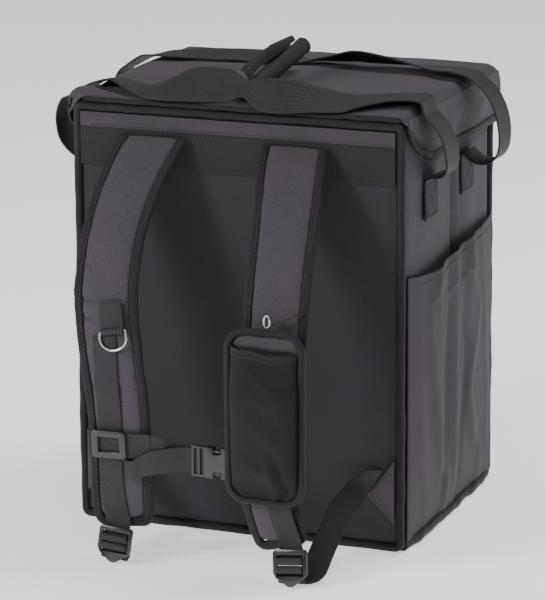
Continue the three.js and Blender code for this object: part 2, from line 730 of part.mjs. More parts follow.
// Shoulder straps: centre line, and shares of width and thickness down the strap
const padLines = {
  left: table(['z', 'out', 'x', 'width', 'thick', 'roll'], [
    [0.93, 0.05, -0.508, 1, 0.55, 0], [0.891, 0.165, -0.55, 1, 0.85, 0], [0.833, 0.36, -0.581, 0.98, 1, 0],
    [0.764, 0.57, -0.596, 0.96, 1, 0], [0.694, 0.735, -0.597, 0.95, 1, 0],
    [0.602, 0.89, -0.58, 0.95, 1, 0],
    [0.509, 0.965, -0.541, 0.95, 1, 0], [0.428, 0.99, -0.51, 0.94, 1, 0], [0.347, 1, -0.482, 0.94, 1, 0],
    [0.231, 0.99, -0.473, 0.92, 1, 0], [0.145, 0.965, -0.478, 0.9, 1, 2],
    [0.078, 0.945, -0.468, 0.86, 0.9, 3],
  ]),
  right: table(['z', 'out', 'x', 'width', 'thick', 'roll'], [
    [0.93, 0.05, 0.358, 1, 0.55, 0], [0.891, 0.165, 0.365, 1, 0.85, 0], [0.833, 0.36, 0.392, 0.98, 1, 0],
    [0.764, 0.57, 0.421, 0.96, 1, 0], [0.694, 0.735, 0.437, 0.95, 1, 0], [0.602, 0.89, 0.453, 0.95, 1, 0],
    [0.509, 0.965, 0.455, 0.95, 1, 0], [0.428, 0.99, 0.447, 0.94, 1, 0], [0.347, 1, 0.439, 0.93, 1, 0],
    [0.231, 0.99, 0.427, 0.9, 1, 0], [0.145, 0.965, 0.45, 0.87, 1, -4], [0.07, 0.95, 0.505, 0.84, 0.9, -9],
  ]),
};
const padColumns = ['z', 'out', 'x', 'width', 'thick', 'roll'];

function padCentre(rows, share) {
  const row = along(rows, padColumns, share);
  return { row, centre: at(row.x * halfWidth, faceY - row.out * strapReach, row.z * bagHeight) };
}

// Frame of the pad at a share of its length: middle, run, width and outward normal
function padFrame(rows, share) {
  const step = 0.01;
  const { row, centre } = padCentre(rows, share);
  const before = padCentre(rows, Math.max(0, share - step)).centre;
  const after = padCentre(rows, Math.min(1, share + step)).centre;
  const run = sum(after, before, -1).normalize();
  const roll = THREE.MathUtils.degToRad(row.roll);
  const level = at(Math.cos(roll), Math.sin(roll), 0);
  const square = sum(level, run, -level.dot(run)).normalize();
  const across = level.clone().lerp(square, smooth(share / 0.16)).normalize();
  const out = run.clone().cross(across).normalize();
  if (out.y > 0) out.negate();
  return { centre, run, across, out, half: (row.width * padWidth) / 2, thick: row.thick };
}

function padLength(rows) {
  let length = 0;
  const points = shares(40).map((s) => padCentre(rows, s).centre);
  for (let i = 1; i < points.length; i += 1) length += points[i].distanceTo(points[i - 1]);
  return length;
}

// Share of the strap's length at which its centre is at a height
function padShareAt(rows, height) {
  let low = 0;
  let high = 1;
  for (let i = 0; i < 30; i += 1) {
    const middle = (low + high) / 2;
    if (padCentre(rows, middle).centre.z > height) low = middle;
    else high = middle;
  }
  return (low + high) / 2;
}

function makePad(rows, name) {
  const length = padLength(rows);
  const stop = 1 - (2.2 * tapeWidth) / length;
  const end = 1 - (tapeWidth + clearance) / length;
  const places = shares(20).map((s) => s * stop);
  const outer = [];
  const inner = [];
  for (const share of [...places, end]) {
    const frame = padFrame(rows, share);
    const tape = share === end ? 2.1 * tapeWidth : tapeWidth;
    const half = frame.half - tape - 2 * clearance;
    const row = (sign) => [-1, -0.8, -0.35, 0.35, 0.8, 1].map((a) => {
      const fall = Math.abs(a) > 0.9 ? 0.6 : 1;
      const lift = (sign * padThickness * frame.thick * fall) / 2;
      return sum(sum(frame.centre, frame.across, a * half), frame.out, lift);
    });
    outer.push(row(1));
    inner.push(row(-1));
  }
  addPiece(`shoulder_pad_${name}`, closedBody(outer, inner), 'cloth');

  const tapeOut = [];
  const tapeIn = [];
  const innerEnd = 1 - tapeWidth / length;
  const corner = (side) => {
    const last = padFrame(rows, 1);
    const near = padFrame(rows, innerEnd);
    tapeOut.push(sum(last.centre, last.across, side * last.half * 0.86));
    tapeIn.push(sum(near.centre, near.across, side * (near.half - 2.1 * tapeWidth)));
  };
  for (const side of [-1, 1]) {
    if (side > 0) {
      corner(side);
      places.reverse();
    }
    for (const share of places) {
      const frame = padFrame(rows, share);
      tapeOut.push(sum(frame.centre, frame.across, side * frame.half));
      tapeIn.push(sum(frame.centre, frame.across, side * (frame.half - tapeWidth)));
    }
    if (side < 0) corner(side);
  }
  addPiece(`pad_binding_${name}`, strip(tapeOut, tapeIn, padTapeThickness), 'binding');
}

// Webbing sewn down the front of a pad, ending in a fold round the lock's top bar
const padWebbing = {
  left: { start: 0.525, rows: table(['along', 'across'], [
    [0, -0.03], [0.3, -0.09], [0.7, -0.13], [1, -0.06],
  ]) },
  right: { start: 0.56, rows: table(['along', 'across'], [
    [0, 0.02], [0.3, 0.06], [0.7, 0.12], [1, 0.18],
  ]) },
};
const webbingLift = padThickness / 2 + clearance + webbingThickness / 2;

const locks = {
  left: { x: -0.486, out: 1.06351, lean: 10, roll: -5 },
  right: { x: 0.584, out: 1.11665, lean: 13, roll: 6 },
};

// Frame of a lock: middle of its upper edge, direction up the plate, width and outward normal
function lockFrame(lock) {
  const lean = THREE.MathUtils.degToRad(lock.lean);
  const roll = THREE.MathUtils.degToRad(lock.roll);
  const up = at(-Math.sin(roll) * Math.cos(lean), Math.sin(lean), Math.cos(roll) * Math.cos(lean));
  const across = at(Math.cos(roll), 0, Math.sin(roll));
  const out = across.clone().cross(up);
  const tip = 0.07 * lockWidth * Math.abs(across.z) + (lockThickness / 2) * Math.abs(out.z) + clearance;
  const top = at(lock.x * halfWidth, faceY - lock.out * strapReach, lockHeight * up.z + tip);
  return { top, up, across, out };
}

// Webbing path given by distances out of the lock's plate and up from its upper edge
function onLock(frame, path) {
  return path.map(([out, up]) => ({
    centre: sum(sum(frame.top, frame.out, out), frame.up, up),
    across: frame.across,
    width: narrowWebbing,
  }));
}

// Distances that the webbing keeps round a bar of the lock
const lockLift = lockThickness / 2 + clearance + webbingThickness / 2;
const lockLayer = webbingThickness + clearance;
const barRound = clearance + webbingThickness / 2;
const firstBar = -(lockHead + lockSlot);
const secondBar = firstBar - lockBar - lockSlot;

function roundBar(top) {
  const foot = top - lockBar;
  const half = lockThickness / 2;
  const turn = 0.71 * barRound;
  return [
    [-half, top + barRound], [half, top + barRound], [half + turn, top + turn], [lockLift, top],
    [lockLift, foot], [half + turn, foot - turn], [half, foot - barRound], [-half, foot - barRound],
  ];
}

function makePadWebbing(side) {
  const rows = padLines[side];
  const line = padWebbing[side];
  const start = padShareAt(rows, line.start * bagHeight);
  const frame = lockFrame(locks[side]);
  const leave = padShareAt(rows, frame.top.z + 2 * lockBar);
  const stations = shares(12).map((s) => {
    const pad = padFrame(rows, THREE.MathUtils.lerp(start, leave, s));
    const shift = lookUp(line.rows, 'along', 'across', s) * padWidth;
    const centre = sum(sum(pad.centre, pad.across, shift), pad.out, webbingLift);
    return { centre, across: pad.across, width: narrowWebbing };
  });
  stations.push(...onLock(frame, [
    [-lockLift, -0.3 * lockHead], [-lockLift, -lockHead], [-0.8 * lockLift, firstBar + 2 * barRound],
    ...roundBar(firstBar),
    [-lockLift + 0.3, firstBar - lockBar - 0.7 * barRound],
    [-lockLift - 0.7 * lockLayer, firstBar - 0.6 * lockBar],
    [-lockLift - lockLayer, firstBar + 1], [-lockLift - lockLayer, -1],
  ]));
  addPiece(`pad_webbing_${side}`, ribbon(stations, webbingThickness), 'webbing');
}

// Ladder lock: a plate with a broad head, three slots and a pointed tab
function makeLock(side) {
  const frame = lockFrame(locks[side]);
  const half = lockWidth / 2;
  const slotHalf = narrowWebbing / 2 + 1.4;
  const foot = -lockHeight;
  const shape = new THREE.Shape([
    [-0.88, 0], [0.88, 0], [1, 0.08], [1, 0.62], [0.86, 0.76], [0.14, 1], [-0.14, 1], [-0.86, 0.76],
    [-1, 0.62], [-1, 0.08],
  ].map(([x, down]) => new THREE.Vector2(x * half, down * foot)));
  for (const start of [-lockHead, firstBar - lockBar, secondBar - lockBar]) {
    const corners = [[-1, 0], [-1, -lockSlot], [1, -lockSlot], [1, 0]];
    shape.holes.push(new THREE.Path(corners.map(([x, z]) => new THREE.Vector2(x * slotHalf, start + z))));
  }
  const plate = new THREE.ExtrudeGeometry(shape, { depth: lockThickness, bevelEnabled: false });
  plate.translate(0, 0, -lockThickness / 2);
  const place = new THREE.Matrix4().makeBasis(frame.across, frame.up, frame.out).setPosition(frame.top);
  plate.applyMatrix4(place);
  addPiece(`ladder_lock_${side}`, plate, 'plastic');
}

// Lower webbing: sewn under the corner patch, down to the floor and through the lock
const lowerColumns = ['x', 'out', 'z', 'turn'];
const lowerRoute = {
  left: table(lowerColumns, [
    [-0.837, 0.014, 0.172, -36], [-0.795, 0.08, 0.178, -10], [-0.75, 0.17, 0.168, 30],
    [-0.7, 0.32, 0.152, 48], [-0.65, 0.5, 0.12, 56], [-0.6, 0.68, 0.083, 66], [-0.56, 0.82, 0.048, 76],
    [-0.53, 0.9, 0.018, 86],
    [-0.515, 0.95, 0.006, 90],
  ]),
  right: table(lowerColumns, [
    [0.837, 0.014, 0.172, -36], [0.79, 0.08, 0.17, -10], [0.765, 0.17, 0.157, 30], [0.752, 0.32, 0.146, 48],
    [0.733, 0.515, 0.128, 50], [0.72, 0.71, 0.091, 54], [0.7, 0.84, 0.055, 62], [0.68, 0.94, 0.022, 78],
    [0.65, 1.02, 0.006, 90],
  ]),
};

function makeLowerWebbing(side) {
  const rows = lowerRoute[side];
  const sign = side === 'left' ? -1 : 1;
  const stations = shares(2 * (rows.length - 1)).map((s) => {
    const row = along(rows, lowerColumns, s);
    const turn = THREE.MathUtils.degToRad(row.turn);
    const z = Math.max(row.z * bagHeight, webbingThickness);
    return {
      centre: at(row.x * halfWidth, faceY - row.out * strapReach, z),
      across: at(Math.sin(turn), 0, -sign * Math.cos(turn)),
      width: narrowWebbing,
    };
  });
  const behind = -lockLift - lockLayer;
  stations.push(...onLock(lockFrame(locks[side]), [
    [behind, 0.9 * -lockHeight], [behind, secondBar - 1.5 * lockBar],
    [behind + 0.3 * lockLayer, secondBar - 0.2 * lockBar],
    [behind + 0.9 * lockLayer, secondBar + 0.8 * barRound],
    ...roundBar(secondBar).slice(0, -1),
    [-0.4 * lockLift, secondBar - lockBar - 1.15 * barRound],
    [-0.85 * lockLift, secondBar - lockBar - 2 * barRound],
    [-lockLift, secondBar - lockBar - 3.2 * barRound], [-lockLift, 0.9 * -lockHeight],
  ]));
  addPiece(`lower_webbing_${side}`, ribbon(stations, webbingThickness), 'webbing');
}

// D-ring on the left strap, hung in a folded tab of webbing
const ringHeightShare = 0.532;
const tabHole = ringWire / 2 + 0.4;
const ringShift = 0.115;

function ringFrame() {
  const rows = padLines.left;
  const share = padShareAt(rows, ringHeightShare * bagHeight);
  const frame = padFrame(rows, share);
  const skin = (padThickness * frame.thick) / 2 + clearance;
  const outer = tabHole + webbingThickness;
  const middle = sum(frame.centre, frame.across, ringShift * padWidth);
  const bar = sum(middle, frame.out, skin + outer);
  return { ...frame, up: frame.run.clone().negate(), skin, outer, bar };
}

function makeRing() {
  const { across, up, out, outer, bar } = ringFrame();
  const thick = 2 * webbingThickness;
  const shape = new THREE.Shape();
  const meet = Math.sqrt(outer ** 2 - (outer - thick) ** 2);
  const from = Math.atan2(meet, thick - outer);
  shape.moveTo(-outer, 0);
  shape.lineTo(-outer, tabLength);
  shape.lineTo(-outer + thick, tabLength);
  for (const s of shares(9)) {
    const angle = THREE.MathUtils.lerp(from, -Math.PI, s);
    if (s < 1) shape.lineTo(outer * Math.cos(angle), outer * Math.sin(angle));
  }
  const fold = new THREE.ExtrudeGeometry(shape, { depth: tabWidth, bevelEnabled: false });
  const hole = new THREE.CylinderGeometry(tabHole, tabHole, 2 * narrowWebbing, 10);
  hole.rotateX(Math.PI / 2);
  hole.translate(0, 0, tabWidth / 2);
  const tab = fromSolid(toSolid(fold).subtract(toSolid(hole)));
  tab.translate(0, 0, -tabWidth / 2);
  const side = out.clone().cross(up);
  tab.applyMatrix4(new THREE.Matrix4().makeBasis(out, up, side).setPosition(bar));
  addPiece('ring_tab', tab, 'webbing');

  const half = (ringWidth - ringWire) / 2;
  const legs = ringHeight - ringWire - half;
  const points = [sum(bar, across, -half), sum(bar, across, 0), sum(bar, across, half)];
  for (const s of shares(10)) {
    const angle = Math.PI * s;
    const drop = Math.max(legs, 2) + half * 0.92 * Math.sin(angle);
    points.push(sum(sum(bar, across, half * Math.cos(angle)), up, -drop));
  }
  addPiece('d_ring', wire(points, ringWire / 2, 6, true), 'metal');
}

// Sternum strap: slider on the left strap, webbing, side-release buckle
const sternumHeight = 0.279;

function makeSternum() {
  const rows = padLines.left;
  const line = padWebbing.left;
  const share = padShareAt(rows, sternumHeight * bagHeight);
  const start = padShareAt(rows, line.start * bagHeight);
  const frame = padFrame(rows, share);
  const shift = lookUp(line.rows, 'along', 'across', (share - start) / (1 - start)) * padWidth;
  const layer = webbingThickness + clearance;
  const skin = padThickness / 2 + clearance + layer;
  const middle = sum(frame.centre, frame.across, shift);
  const up = frame.run.clone().negate();
  const spot = (x, z, lift) => sum(sum(sum(middle, frame.across, x), up, z), frame.out, lift);

  const tabReach = 1.22 * sliderWidth;
  const tabEnds = [-0.62 * sliderWidth, -0.3 * sliderWidth, 0.3 * sliderWidth, 0.75 * sliderWidth, tabReach];
  const tabLift = skin + webbingThickness / 2;
  addPiece('sternum_tab', ribbon(tabEnds.map((x) => ({
    centre: spot(x, 0, tabLift),
    across: up,
    width: narrowWebbing,
  })), webbingThickness), 'webbing');

  const plateShape = roundedRectangle(sliderWidth, sliderHeight, 3);
  const window = new THREE.Path();
  const windowX = sliderWidth * 0.32;
  const windowY = sliderHeight * 0.27;
  window.moveTo(-windowX, -windowY);
  window.lineTo(-windowX, windowY);
  window.lineTo(windowX, windowY);
  window.lineTo(windowX, -windowY);
  plateShape.holes.push(window);
  const plate = new THREE.ExtrudeGeometry(plateShape, {
    depth: sliderThickness,
    bevelEnabled: false,
    curveSegments: 3,
  });
  plate.translate(0, 0, -sliderThickness / 2);
  const toward = frame.across.clone().cross(up);
  const seat = spot(0, 0, skin + layer + sliderThickness / 2);
  plate.applyMatrix4(new THREE.Matrix4().makeBasis(frame.across, up, toward).setPosition(seat));
  addPiece('sternum_slider', plate, 'plastic');

  // Buckle frame and socket, across the front between the straps
  const buckleX = -0.03 * halfWidth;
  const buckleY = faceY - strapReach - 0.2 * padThickness;
  const buckleZ = 0.257 * bagHeight;
  const half = buckleHeight / 2;
  const slot = narrowWebbing / 2 + 0.8;
  const plug = new THREE.Shape();
  plug.moveTo(0, -half);
  plug.lineTo(frameLength, -half);
  plug.lineTo(frameLength, -half + 2);
  plug.lineTo(frameLength + 0.75 * socketLength, -half + 2.6);
  plug.lineTo(frameLength + 0.75 * socketLength, -half + 6);
  plug.lineTo(frameLength + 2, -half + 5.4);
  plug.lineTo(frameLength + 2, -2.5);
  plug.lineTo(frameLength + 0.6 * socketLength, -2);
  plug.lineTo(frameLength + 0.6 * socketLength, 2);
  plug.lineTo(frameLength + 2, 2.5);
  plug.lineTo(frameLength + 2, half - 5.4);
  plug.lineTo(frameLength + 0.75 * socketLength, half - 6);
  plug.lineTo(frameLength + 0.75 * socketLength, half - 2.6);
  plug.lineTo(frameLength, half - 2);
  plug.lineTo(frameLength, half);
  plug.lineTo(0, half);
  const plugDepth = buckleThickness * 0.42;
  let plugBody = toSolid(new THREE.ExtrudeGeometry(plug, { depth: plugDepth, bevelEnabled: false }));
  for (const x of [0.16, 0.58]) {
    const from = at(x * frameLength, -slot, -1);
    plugBody = plugBody.subtract(toSolid(block(from, at((x + 0.25) * frameLength, slot, plugDepth + 1))));
  }
  const plugGeometry = fromSolid(plugBody);
  plugGeometry.rotateX(Math.PI / 2);
  plugGeometry.translate(buckleX, buckleY + plugDepth / 2, buckleZ);
  addPiece('buckle_plug', plugGeometry, 'plastic');

  const socketStart = buckleX + frameLength + clearance;
  const thick = buckleThickness / 2;
  const shell = toSolid(block(
    at(socketStart, buckleY - thick, buckleZ - half),
    at(socketStart + socketLength + 7, buckleY + thick, buckleZ + half),
  ));
  const hollow = toSolid(block(
    at(socketStart - 1, buckleY - thick * 0.6, buckleZ - half + 1.7),
    at(socketStart + socketLength, buckleY + thick * 0.6, buckleZ + half - 1.7),
  ));
  const sideWindow = toSolid(block(
    at(socketStart + 0.42 * socketLength, buckleY - thick - 1, buckleZ - half - 1),
    at(socketStart + 0.82 * socketLength, buckleY + thick + 1, buckleZ - half + 6.6),
  ));
  const topWindow = toSolid(block(
    at(socketStart + 0.42 * socketLength, buckleY - thick - 1, buckleZ + half - 6.6),
    at(socketStart + 0.82 * socketLength, buckleY + thick + 1, buckleZ + half + 1),
  ));
  const webSlot = toSolid(block(
    at(socketStart + socketLength + 2, buckleY - thick - 1, buckleZ - slot),
    at(socketStart + socketLength + 4.8, buckleY + thick + 1, buckleZ + slot),
  ));
  const socket = shell.subtract(hollow).subtract(sideWindow).subtract(topWindow).subtract(webSlot);
  addPiece('buckle_socket', fromSolid(socket), 'plastic');

  // Two runs of webbing from the tab to the buckle's frame, the front one lower
  const rise = at(0, 0, 1);
  const ahead = tabLift + 1.4 * layer;
  const frameEdge = buckleX - clearance;
  const run = (centre, across, width) => ({ centre, across, width: width * narrowWebbing });
  const onSlider = (x, z, lift) => spot(x * sliderWidth, z * narrowWebbing, lift);
  const beforeBuckle = (x, y, z) => at(
    buckleX - x * narrowWebbing,
    buckleY + y * buckleThickness,
    buckleZ + z * narrowWebbing,
  );
  addPiece('sternum_webbing_front', ribbon([
    run(onSlider(0.43, -0.96, skin - layer + webbingThickness), up, 0.8),
    run(onSlider(0.64, -1.02, ahead), up, 0.8),
    run(onSlider(0.92, -0.8, ahead), up, 0.88),
    run(onSlider(1.25, -0.6, ahead), up, 0.96),
    run(beforeBuckle(0.88, -0.56, -0.06), rise, 1),
    run(beforeBuckle(0.32, -0.09, 0), rise, 1),
    run(at(frameEdge, buckleY, buckleZ), rise, 1),
  ], webbingThickness), 'webbing');
  const tabEnd = spot(tabReach, 0, tabLift);
  const back = 1.5 * layer;
  addPiece('sternum_webbing_back', ribbon([
    run(sum(tabEnd, at(clearance, 0, 0)), up, 1),
    run(sum(tabEnd, at(0.48, 0.06, -0.08), narrowWebbing), rise, 0.9),
    run(sum(beforeBuckle(0.72, -0.18, 0.2), at(0, back, 0)), rise, 0.8),
    run(at(frameEdge, buckleY + back, buckleZ + 0.08 * narrowWebbing), rise, 0.8),
  ], webbingThickness), 'webbing');

  const rightRows = padLines.right;
  const rightShare = padShareAt(rightRows, buckleZ);
  const rightPad = padFrame(rightRows, rightShare);
  const onPad = (across, lift) => sum(sum(rightPad.centre, rightPad.across, across), rightPad.out, lift);
  const socketEnd = at(socketStart + socketLength + 7 + 2 * clearance, buckleY, buckleZ);
  const overPad = webbingLift + 2 * clearance;
  const seamSide = 0.05 * padWidth - narrowWebbing / 2 - clearance;
  addPiece('sternum_webbing_right', ribbon([
    run(socketEnd, rise, 1),
    run(onPad(-1.03 * rightPad.half, overPad - padThickness / 5), rise, 1),
    run(onPad(-0.6 * rightPad.half, overPad), rise, 1),
    run(onPad(seamSide, overPad), rise, 1),
  ], webbingThickness), 'webbing');
}

// Phone pouch on the right strap
function makePouch() {
  const rows = padLines.right;
  const share = padShareAt(rows, pouchCentreZ);
  const pad = padFrame(rows, share);
  const backY = pad.centre.y - webbingLift - webbingThickness / 2 - 2 * clearance;
  const bead = pouchBinding / 2;
  const frontY = backY - pouchBack;
  const place = (x, y, z) => at(pouchCentreX + x, y, pouchCentreZ + z);

  const inner = roundedRectangle(
    pouchWidth - 2 * pouchBinding - 2 * clearance,
    pouchHeight - 2 * pouchBinding - 2 * clearance,
    pouchRadius - pouchBinding,
  );
  const back = new THREE.ExtrudeGeometry(inner, {
    depth: pouchBack,
    bevelEnabled: false,
    curveSegments: 4,
  });
  back.rotateX(Math.PI / 2);
  back.translate(pouchCentreX, backY, pouchCentreZ);
  addPiece('pouch_back', back, 'cloth');

  const path = roundedRectangle(pouchWidth - pouchBinding, pouchHeight - pouchBinding, pouchRadius - bead);
  const outline = path.getPoints(4).slice(0, -1);
  const distinct = outline.filter((q, i) => i === 0 || q.distanceTo(outline[i - 1]) > 0.5);
  const beadY = backY - bead;
  addPiece('pouch_binding', wire(distinct.map((q) => place(q.x, beadY, q.y)), bead, 8, true), 'binding');

  const halfX = pouchWidth / 2 - pouchBinding - 2 * clearance;
  const foot = -pouchHeight / 2 + pouchBinding + 2 * clearance;
  const head = pouchHeight / 2 - pouchBinding - 0.115 * pouchHeight;
  const bulge = (u, w) => {
    const across = Math.sqrt(Math.max(0, 1 - u ** 4));
    const down = Math.sin(Math.PI * (0.14 + 0.86 * w) * 0.58) ** 0.8 * smooth(w / 0.22 + 0.05);
    const fold = 0.12 * Math.exp(-(((u - 0.2 - 0.9 * (0.3 - w)) / 0.16) ** 2)) * smooth((0.42 - w) / 0.2);
    return pouchDepth * (0.08 + 0.92 * across * Math.min(1, down) + fold * across);
  };
  const corner = (w) => 1 - 0.32 * Math.max(0, 1 - w / 0.1) ** 2;
  const meshOuter = shares(10).map((s) => shares(10).map((w) => {
    const u = 2 * s - 1;
    const slack = bulge(u, w) * (1 - 0.45 * smooth((w - 0.7) / 0.3));
    const lift = w === 0 ? meshThickness : Math.max(meshThickness, slack);
    return place(u * halfX * corner(w), frontY - clearance - lift, THREE.MathUtils.lerp(foot, head, w));
  }));
  const meshInner = meshOuter.map((row) => row.map((q) => at(q.x, q.y + meshThickness, q.z)));
  addPiece('pouch_mesh', closedBody(meshOuter, meshInner), 'mesh');

  const rim = meshOuter.map((row) => row[row.length - 1]);
  const band = (z) => rim.map((q) => at(q.x, q.y + meshThickness / 2, q.z + z));
  const mouth = strip(band(clearance), band(clearance + 0.9 * tapeWidth), 1.6 * meshThickness);
  addPiece('pouch_mouth', mouth, 'binding');

  // Hook that hangs the pouch from the strap, and its cord to the strap's edge
  const hookX = 0.02 * pouchWidth;
  const hookDepth = 1.6;
  const beadDrop = bead - Math.sqrt(bead ** 2 - (bead - hookDepth) ** 2);
  const hookZ = pouchHeight / 2 - beadDrop;
  const hookY = backY - hookDepth;
  const loop = shares(9).slice(0, -1).map((s) => {
    const angle = 2 * Math.PI * s;
    return place(hookX + 3.2 * Math.sin(angle), hookY, hookZ + 7.2 + 6.2 * Math.cos(angle));
  });
  addPiece('pouch_hook', wire(loop, 1, 6, true), 'metal');
  const tie = padFrame(rows, padShareAt(rows, pouchCentreZ + 0.56 * pouchHeight));
  const tieEdge = sum(tie.centre, tie.across, tie.half - 0.5 * tapeWidth);
  const tieEnd = sum(tieEdge, tie.out, padTapeThickness / 2 + 1.1);
  const cordStart = place(hookX + 5.8, hookY, hookZ + 5.5);
  const cordMiddle = sum(cordStart, tieEnd).multiplyScalar(0.5);
  addPiece('pouch_cord', wire([cordStart, cordMiddle, tieEnd], 0.8, 6, false), 'webbing');
}

// Side pocket: a loose sheet sewn along both edges and the foot, gaping at its mouth
const pocketMouth = table(['along', 'gape', 'drop'], [
  [0, 0, -0.008], [0.12, 0.25, 0], [0.22, 0.6, 0.005], [0.27, 1, 0], [0.33, 0.55, -0.004],
  [0.48, 0.35, -0.01], [0.58, 0.5, -0.018], [0.65, 0.9, -0.024], [0.72, 0.4, -0.021], [0.88, 0.25, -0.024],
  [1, 0, -0.028],
]);
const pocketRidges = [
  table(['height', 'along'], [[0.1, 0.4], [0.3, 0.3], [0.45, 0.26], [0.62, 0.22], [0.8, 0.19], [1, 0.27]]),
  table(['height', 'along'], [[0, 0.5], [0.2, 0.48], [0.45, 0.45], [0.7, 0.44], [1, 0.48]]),
  table(['height', 'along'], [[0.12, 0.83], [0.25, 0.7], [0.42, 0.62], [0.72, 0.74], [1, 0.62]]),
];

function makeSidePocket() {
  const columns = 22;
  const levels = 12;
  const bottom = bindingDiameter + clearance;
  const outer = [];
  const inner = [];
  for (const s of shares(columns)) {
    const rowOut = [];
    const rowIn = [];
    const y = THREE.MathUtils.lerp(-sideEndY, sideEndY * 0.985, s);
    for (const w of shares(levels)) {
      const drop = lookUp(pocketMouth, 'along', 'drop', s) * w ** 3;
      const z = THREE.MathUtils.lerp(bottom, pocketHeight - drop * bagHeight, w);
      const border = Math.sin(Math.PI * s) ** 0.6;
      const body = pocketBulge * border * Math.sin(Math.PI * (0.06 + 0.8 * w)) * smooth(w / 0.1);
      const gape = pocketGape * lookUp(pocketMouth, 'along', 'gape', s) * w ** 4;
      let fold = 0;
      for (const ridge of pocketRidges) {
        const far = (s - lookUp(ridge, 'height', 'along', w)) / 0.035;
        fold += pocketFold * Math.exp(-far * far) * border * Math.sin(Math.PI * Math.min(1, w + 0.12)) ** 0.5;
      }
      const wall = sideFace(1, y, z) + clearance * 2;
      const creaseFill = z > 0.4 * bagHeight ? creaseDepth : 0;
      const base = Math.max(wall, Math.min(sideX + clearance, wall + creaseFill));
      const x = base + Math.max(0, body * 0.75 + gape * 0.55 + fold);
      rowIn.push(at(x, y, z));
      rowOut.push(at(x + clothThickness, y, z));
    }
    outer.push(rowOut);
    inner.push(rowIn);
  }
  addPiece('side_pocket', closedBody(outer, inner), 'cloth');
}

makePanels();
makeBindings();
makeFaceTrim();
makeLid();
makeWrap(makeHandles());
for (const side of ['left', 'right']) {
  makePad(padLines[side], side);
  makePadWebbing(side);
  makeLock(side);
  makeLowerWebbing(side);
}
makeRing();
makeSternum();
makePouch();
makeSidePocket();

export default backpack;
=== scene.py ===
from itertools import combinations
import json
import math

import bpy
from bpy.props import FloatProperty, FloatVectorProperty, PointerProperty
from mathutils import Matrix, Vector, noise


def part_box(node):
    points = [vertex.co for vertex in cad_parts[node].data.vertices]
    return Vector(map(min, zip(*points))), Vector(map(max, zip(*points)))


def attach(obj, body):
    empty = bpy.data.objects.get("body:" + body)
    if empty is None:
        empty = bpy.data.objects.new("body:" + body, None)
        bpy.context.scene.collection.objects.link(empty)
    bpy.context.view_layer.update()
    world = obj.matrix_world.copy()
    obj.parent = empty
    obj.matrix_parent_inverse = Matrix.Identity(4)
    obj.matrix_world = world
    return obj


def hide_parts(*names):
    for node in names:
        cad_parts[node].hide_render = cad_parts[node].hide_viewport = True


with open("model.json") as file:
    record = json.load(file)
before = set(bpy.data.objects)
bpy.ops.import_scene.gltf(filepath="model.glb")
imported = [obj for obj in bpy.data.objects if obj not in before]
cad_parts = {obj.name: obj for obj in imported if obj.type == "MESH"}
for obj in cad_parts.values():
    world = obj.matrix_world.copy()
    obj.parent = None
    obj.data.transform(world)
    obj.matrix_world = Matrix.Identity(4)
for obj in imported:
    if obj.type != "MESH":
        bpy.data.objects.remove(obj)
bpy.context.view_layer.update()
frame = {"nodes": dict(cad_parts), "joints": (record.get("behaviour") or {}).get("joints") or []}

bl_info = {
    "name": "Insulated Delivery Backpack",
    "version": (1, 0, 0),
    "blender": (4, 5, 0),
    "location": "View3D > Sidebar > Backpack",
    "description": "Dresses the frame of an insulated delivery backpack in cloth, webbing and hardware",
    "category": "Object",
}

# Lengths in this file are in millimetres until a mesh is made
MM = 0.001


def extent(node):
    """Lowest and highest corner of a frame node, in millimetres"""
    low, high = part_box(node)
    return [c / MM for c in low], [c / MM for c in high]


RIM_LOW, RIM_HIGH = extent("binding_strap_side")
FACE_LOW, FACE_HIGH = extent("panel_strap_side")
SIDE_LOW, SIDE_HIGH = extent("panel_right")
LID_LOW, LID_HIGH = extent("lid_top")

HALF_X = RIM_HIGH[0]
HALF_Y = -RIM_LOW[1]
HEIGHT = RIM_HIGH[2]
BEAD = (RIM_HIGH[1] - RIM_LOW[1]) / 2
FACE_Y = FACE_LOW[1]
# Crown of the sides, and the upright crease of the pocket side
SIDE_CROWN = 3.0
SIDE_X = SIDE_HIGH[0] - SIDE_CROWN
CREASE_DEPTH = 5.0
CREASE_MIDDLE = 5.0
CREASE_HALF = 16.0
# Thickness of webbing and pads, and width of the pads' tape
WEB = 1.8
PAD_THICK = 9.0
TAPE = 9.0
# How far the left front edge stands out, and where the cloth starts to go with it
SLUMP = 5.5
SLUMP_X, SLUMP_WIDE = -105.0, 55.0
SLUMP_Y, SLUMP_DEEP = -88.0, 52.0
# Foot binding of the pocket side: how far it stands out, and its size as a share of the others
FOOT_OUT = 4.5
FOOT_SHARE = 1.25

# Straps and webbing of the frame: where the first end lies, and the direction of the width there
STRAP_ENDS = {
    "handle_near": ((1, 0, 0), (0, 1, 0)), "handle_far": ((1, 0, 0), (0, 1, 0)),
    "pad_webbing_left": ((0, 0, 1), (1, 0, 0)), "pad_webbing_right": ((0, 0, 1), (1, 0, 0)),
    "lower_webbing_left": ((0, 0, 1), (0, 0, 1)), "lower_webbing_right": ((0, 0, 1), (0, 0, -1)),
    "sternum_tab": ((-1, 0, 0), (0, 0, 1)), "sternum_webbing_front": ((-1, 0, 0), (0, 0, 1)),
    "sternum_webbing_back": ((-1, 0, 0), (0, 0, 1)), "sternum_webbing_right": ((-1, 0, 0), (0, 0, 1)),
}
